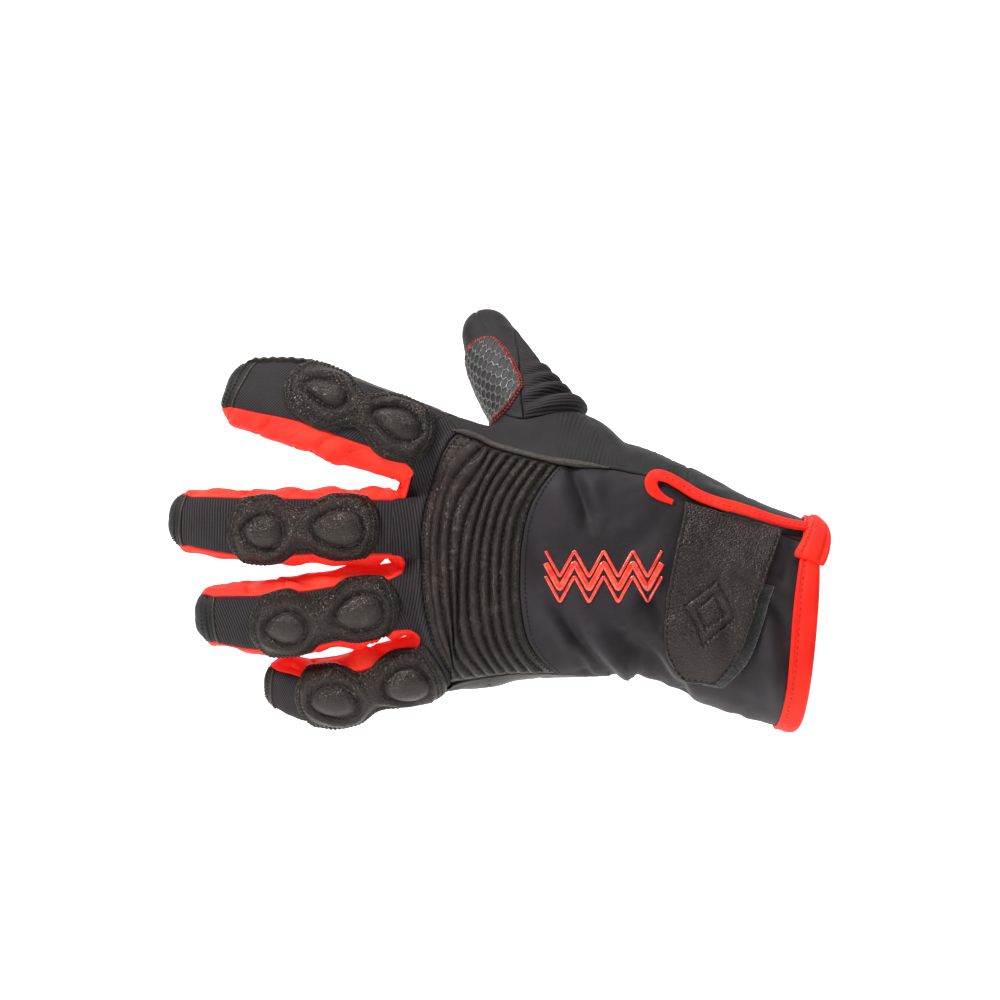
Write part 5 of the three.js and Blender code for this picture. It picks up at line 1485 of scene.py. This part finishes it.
def oval_outline(width, height, count=14, squareness=0.75):
    """A flattened tube's outline: a superellipse."""
    lap = np.linspace(0, 2 * np.pi, count, endpoint=False)
    c, s = np.cos(lap), np.sin(lap)
    return np.stack([np.sign(c) * np.abs(c) ** squareness * width / 2,
                     np.sign(s) * np.abs(s) ** squareness * height / 2], 1)


# The slit's binding in the front view: x, z, and how high it lies over the cloth.
SLIT_PATH = [
    (-53.4, 49.0, 0.2), (-57.4, 50.8, 0.3), (-60.6, 53.3, 0.7), (-61.8, 56.2, 1.4), (-59.8, 58.2, 2.0),
    (-55.6, 57.2, 2.2), (-50.4, 54.2, 2.3), (-44.6, 50.6, 2.5), (-38.6, 47.7, 3.2), (-31.8, 45.1, 4.2),
    (-23.0, 42.1, 4.3), (-15.6, 40.2, 3.4), (-8.5, 39.0, 2.6), (-3.0, 38.2, 2.4),
]


def make_bindings(settings):
    """The leather piping and the slit's binding: ovals carried along paths on the skin."""
    share = np.linspace(0.885, 0.5, 120)
    p = on_hand(share, top_turn(share))
    n = unit(slope_at(p))
    ahead = unit(np.gradient(p, axis=0))
    taper = (smooth(np.linspace(0, 1, 120), 0, 0.06) * smooth(np.linspace(1, 0, 120), 0, 0.2))[:, None, None]
    outline = oval_outline(3.0, 1.9)[None] * mix(0.3, 1.0, taper)
    mesh = sweep(p + n * 0.45, np.cross(ahead, n), n, outline)
    add_piece("leather_piping", mesh, finish_of("trim"), ["leather_piping"])

    path = smooth_path(SLIT_PATH, 0.6)
    skin = on_front(path[:, :2])
    n = unit(slope_at(skin))
    p = skin + n * path[:, 2:3]
    ahead = unit(np.gradient(p, axis=0))
    wide = mix(0.4, 1.0, smooth(np.linspace(0, 1, len(p)), 0.0, 0.2))[:, None, None]
    outline = oval_outline(5.0, 2.0, 18, 0.6)[None] * np.concatenate([wide, 0 * wide + 1], -1)
    mesh = sweep(p, np.cross(ahead, n), n, outline)
    add_piece("slit_binding", mesh, finish_of("binding"), ["slit_binding"])
    keep = np.arange(len(p)) > len(p) * 0.3
    row = (p + np.cross(ahead, n) * 0.9 + n * 0.95)[keep]
    add_piece("slit_stitching", stitches(row, n[keep], 2.4, 1.6, 0.3, 0.0), finish_of("red_thread"))


def make_cuff(settings):
    """The cuff's binding: a folded band's outline carried round the wrist opening."""
    turns = np.linspace(-1, 1, 121)[:-1]
    shares = np.linspace(-0.01, BINDING_WIDTH / HAND_LENGTH * 1.1, 7)
    share, turn = np.meshgrid(shares, turns, indexing="ij")
    p = on_hand(share + cuff_edge(turn), turn)
    n = unit(slope_at(p)).reshape(7, 120, 3)
    p = p.reshape(7, 120, 3)
    # Down the outside, round the edge, up the inside: distance back from the edge and height.
    outline = smooth_path([
        (8.9, 0.75), (8.75, 1.5), (7.9, 1.95), (6.6, 1.62), (4.4, 2.25), (1.6, 2.05), (0.1, 1.0), (-0.5, -0.8),
        (0.1, -2.4), (1.6, -3.2), (4.4, -3.3), (7.4, -3.1), (8.1, -2.6), (7.2, -2.1), (3.4, -1.95), (1.25, -1.7),
        (1.0, -0.6), (1.35, 0.35), (4.4, 0.7), (8.2, 0.65)], 0.55)
    at = np.clip(outline[:, 0] / HAND_LENGTH, shares[0], shares[-1])
    weights = spline_weights(7, (at - shares[0]) / (shares[-1] - shares[0]))
    wrapped = np.concatenate([p, p[:, :1]], 1)
    wrapped_n = np.concatenate([n, n[:, :1]], 1)
    around = spline_weights(121, np.linspace(0, 1, 421)[:-1])
    ring = np.einsum("os,sti,rt->roi", weights, wrapped, around, optimize=True)
    up = unit(np.einsum("os,sti,rt->roi", weights, wrapped_n, around, optimize=True))
    lap = np.linspace(0, 2 * np.pi, 421)[:-1][:, None]
    slack = 1 + 0.1 * np.sin(5 * lap + 1.0) + 0.07 * np.sin(11 * lap)
    height = outline[None, :, 1] * np.where(outline[None, :, 1] > 0, slack, 1)
    rows = ring + up * height[..., None]
    closed = np.concatenate([rows, rows[:1]])
    m, k = closed.shape[:2]
    uv = np.stack(np.broadcast_arrays((np.arange(m) * 0.6)[:, None], outline[None, :, 0]), -1)
    mesh = closed.reshape(-1, 3), grid_faces(m, k, 0, True), uv.reshape(-1, 2)
    add_piece("cuff_binding", mesh, finish_of("binding"), ["cuff_binding"])
    near = int(np.argmin(np.abs(outline[: len(outline) // 2, 0] - 6.6) + 3 * (outline[: len(outline) // 2, 1] < 1)))
    add_piece("cuff_stitching", stitches(closed[:, near], np.concatenate([up, up[:1]])[:, near], 2.4, 1.6, 0.32, -0.05),
              finish_of("red_thread"))


# The folded corner of the cuff, from its top edge down: turn, then its left and right edge as
# shares of the hand's length.
TAB_ROWS = [
    (0.505, 0.080, 0.040), (0.46, 0.080, 0.027), (0.41, 0.084, 0.019), (0.35, 0.093, 0.015),
    (0.29, 0.102, 0.015), (0.245, 0.111, 0.018), (0.225, 0.106, 0.022),
]


def make_tab(settings):
    """The cuff's folded corner: a band between two edges, bulged by half a sine wave."""
    table = np.array(TAB_ROWS, float)

    def place(s, t):
        row = spline_weights(len(table), s) @ table
        return on_hand(mix(row[:, 1], row[:, 2], t), row[:, 0])
    skin = Skin(place, (16, 9), (0.4, 0.4), gap=0.0)
    bulge = (0.8 * np.sin(np.pi * skin.t) - 0.35 * np.exp(-(((skin.t - 0.3) / 0.06) ** 2))
             - 0.9 * np.exp(-(((skin.t - 0.84) / 0.05) ** 2)) * smooth(skin.s, 0.15, 0.4))
    base = 1.9
    mesh = solid(skin.at(base + 1.2 + bulge + skin.roll(1.0)), skin.at(base - 0.3), np.stack([skin.a, skin.b], -1))
    add_piece("cuff_corner_tab", mesh, finish_of("binding"), ["cuff_corner_tab"])
    p, up = skin.sample(np.linspace(0.05, 0.9, 80), np.full(80, 0.2), base + 1.2 + bulge)
    add_piece("tab_stitching", stitches(p, up, 2.4, 1.6, 0.3, 0.0), finish_of("red_thread"))


# Plain zigzag lines printed on the back: each its corners in the front view, x and z.
ZIGZAG = [(-101.5, 29.0), (-96.0, 19.0), (-90.5, 29.0), (-85.0, 19.0), (-79.5, 29.0), (-74.0, 19.0), (-68.5, 29.0),
          (-63.0, 19.0), (-57.5, 29.0)]


def make_print(settings):
    """Zigzag lines printed on the back."""
    lines = []
    for shift, width in ((2.0, 1.2), (-2.6, 2.3), (-7.6, 1.2)):
        points = np.array(ZIGZAG) + np.array([0.0, shift])
        dense = np.concatenate([mix(a, b, np.linspace(0, 1, 24, endpoint=False)[:, None])
                                for a, b in zip(points[:-1], points[1:])] + [points[-1:]])
        kernel = np.array([1, 2, 3, 2, 1]) / 9
        padded = np.pad(dense, ((2, 2), (0, 0)), mode="edge")
        dense = np.stack([np.convolve(padded[:, c], kernel, "valid") for c in (0, 1)], 1)
        p = on_front(dense)
        n = unit(slope_at(p))
        p = p + n * (shell_folds(p)[:, None] + 0.1)
        ahead = unit(np.gradient(p, axis=0))
        lines.append(sweep(p, np.cross(ahead, n), n, oval_outline(width, 0.9, 10, 0.8)))
    add_piece("back_print", joined(lines), finish_of("ink"))


def make_stage(settings):
    """A pale floor below the glove, swept up behind it, soft lights, and the camera."""
    depth = np.array([-1.6, -0.6, 0.0, 0.35, 0.6, 0.78, 0.9, 0.96, 1.0, 1.0, 1.0])
    rise = np.array([0.0, 0.0, 0.0, 0.0, 0.03, 0.1, 0.22, 0.36, 0.6, 1.2, 2.4]) - 0.2
    across = np.linspace(-2.2, 2.2, 23) - 0.12
    x, d = np.meshgrid(across, depth, indexing="ij")
    rows = np.stack([x, d, np.broadcast_to(rise, x.shape)], -1) * 1000
    places = rows.reshape(-1, 3)
    faces = grid_faces(*rows.shape[:2])
    data = bpy.data.meshes.new("studio_floor")
    data.from_pydata((places / 1000).tolist(), [], faces.tolist())
    data.polygons.foreach_set("use_smooth", np.ones(len(faces), bool))
    data.materials.append(finish_of("floor"))
    floor = bpy.data.objects.new("studio_floor", data)
    bpy.context.scene.collection.objects.link(floor)

    world = bpy.data.worlds.new("studio")
    world.use_nodes = True
    world.node_tree.nodes["Background"].inputs[0].default_value = (1, 1, 1, 1)
    world.node_tree.nodes["Background"].inputs[1].default_value = settings.sky_light
    bpy.context.scene.world = world
    bpy.context.scene.view_settings.view_transform = "Standard"
    lamps = [
        ("key", (-0.95, -0.6, 0.95), 0.3, 27),
        ("fill", (0.35, -1.2, 0.45), 0.5, 1.6),
        ("top", (0.05, -0.15, 1.0), 0.6, 9),
    ]
    target = np.array([-0.12, 0.0, 0.03])
    for name, place, size, power in lamps:
        light = bpy.data.lights.new(f"{name}_light", "AREA")
        light.size = size
        light.energy = power
        lamp = bpy.data.objects.new(f"{name}_light", light)
        lamp.location = place
        aim = Vector(tuple(target - np.array(place)))
        lamp.rotation_mode = "QUATERNION"
        lamp.rotation_quaternion = aim.to_track_quat("-Z", "Y")
        bpy.context.scene.collection.objects.link(lamp)

    camera = bpy.data.cameras.new("camera")
    camera.sensor_width = 36
    camera.lens = settings.lens
    camera.clip_start, camera.clip_end = 0.05, 20
    holder = bpy.data.objects.new("camera", camera)
    holder.location = (-0.1186, -1.2, 0.05005)
    holder.rotation_euler = (np.pi / 2, 0, 0)
    bpy.context.scene.collection.objects.link(holder)
    bpy.context.scene.camera = holder


# The add-on

class GloveSettings(bpy.types.PropertyGroup):
    """Sizes of the glove that a maker would change."""
    rib_height: bpy.props.FloatProperty(
        name="Rib height", description="Height of the leather ribs over the knuckles, in millimetres",
        default=1.8, min=0.0, max=2.6)
    dome_height: bpy.props.FloatProperty(
        name="Dome height", description="Height of each padded dome over its pad, in millimetres",
        default=3.3, min=0.5, max=4.0)
    sky_light: bpy.props.FloatProperty(
        name="Surrounding light", description="Strength of the even light from all round", default=0.04, min=0.0)
    lens: bpy.props.FloatProperty(
        name="Lens", description="The camera's focal length", default=112.2, subtype="DISTANCE_CAMERA", unit="CAMERA")


class GloveOperator:
    """What the glove's operators share: they build once and report that they have."""
    bl_options = {"REGISTER", "UNDO"}

    def execute(self, context):
        for step in self.steps:
            step(context.scene.glove)
        return {"FINISHED"}


class GLOVE_OT_stage(GloveOperator, bpy.types.Operator):
    """Add the floor, the lights and the camera"""
    bl_idname = "glove.stage"
    bl_label = "Stage"
    steps = (make_stage,)


class GLOVE_OT_fingers(GloveOperator, bpy.types.Operator):
    """Add the fingers' knit backs, tip caps and palm sides"""
    bl_idname = "glove.fingers"
    bl_label = "Fingers"
    steps = (make_fingers, cap_seams)


class GLOVE_OT_gussets(GloveOperator, bpy.types.Operator):
    """Add the red gussets between the fingers"""
    bl_idname = "glove.gussets"
    bl_label = "Gussets"
    steps = (make_gussets,)


class GLOVE_OT_back(GloveOperator, bpy.types.Operator):
    """Add the knuckle knit, the ribbed leather panel and the softshell back"""
    bl_idname = "glove.back"
    bl_label = "Back of the hand"
    steps = (make_back,)


class GLOVE_OT_thumb(GloveOperator, bpy.types.Operator):
    """Add the thumb and its grip patch"""
    bl_idname = "glove.thumb"
    bl_label = "Thumb"
    steps = (make_thumb, make_grip)


class GLOVE_OT_sides(GloveOperator, bpy.types.Operator):
    """Add the side panel and the palm"""
    bl_idname = "glove.sides"
    bl_label = "Side and palm"
    steps = (make_sides,)


class GLOVE_OT_pads(GloveOperator, bpy.types.Operator):
    """Add the knuckle pads with their domes"""
    bl_idname = "glove.pads"
    bl_label = "Knuckle pads"
    steps = (make_pads,)


class GLOVE_OT_strap(GloveOperator, bpy.types.Operator):
    """Add the wrist strap and its hook tape"""
    bl_idname = "glove.strap"
    bl_label = "Wrist strap"
    steps = (make_strap,)


class GLOVE_OT_bindings(GloveOperator, bpy.types.Operator):
    """Add the leather piping, the red bindings, the corner tab and the print"""
    bl_idname = "glove.bindings"
    bl_label = "Bindings and print"
    steps = (make_bindings, make_cuff, make_tab, make_print)


class GLOVE_PT_panel(bpy.types.Panel):
    """The glove's sizes and pieces in the sidebar"""
    bl_idname = "GLOVE_PT_panel"
    bl_label = "Climbing glove"
    bl_space_type = "VIEW_3D"
    bl_region_type = "UI"
    bl_category = "Glove"

    def draw(self, context):
        settings = context.scene.glove
        for key in ("rib_height", "dome_height", "sky_light", "lens"):
            self.layout.prop(settings, key)
        for operator in OPERATORS:
            self.layout.operator(operator.bl_idname)


OPERATORS = (GLOVE_OT_stage, GLOVE_OT_fingers, GLOVE_OT_gussets, GLOVE_OT_back, GLOVE_OT_thumb, GLOVE_OT_sides,
             GLOVE_OT_pads, GLOVE_OT_strap, GLOVE_OT_bindings)
CLASSES = (GloveSettings, *OPERATORS, GLOVE_PT_panel)


def register():
    """Registers the classes and gives the scene its settings."""
    for cls in CLASSES:
        bpy.utils.register_class(cls)
    bpy.types.Scene.glove = bpy.props.PointerProperty(type=GloveSettings)


def unregister():
    """Takes the settings and the classes away again."""
    del bpy.types.Scene.glove
    for cls in reversed(CLASSES):
        bpy.utils.unregister_class(cls)


def main():
    """Registers the add-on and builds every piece."""
    register()
    for operator in OPERATORS:
        group, name = operator.bl_idname.split(".")
        getattr(getattr(bpy.ops, group), name)()


if __name__ == "__main__":
    main()
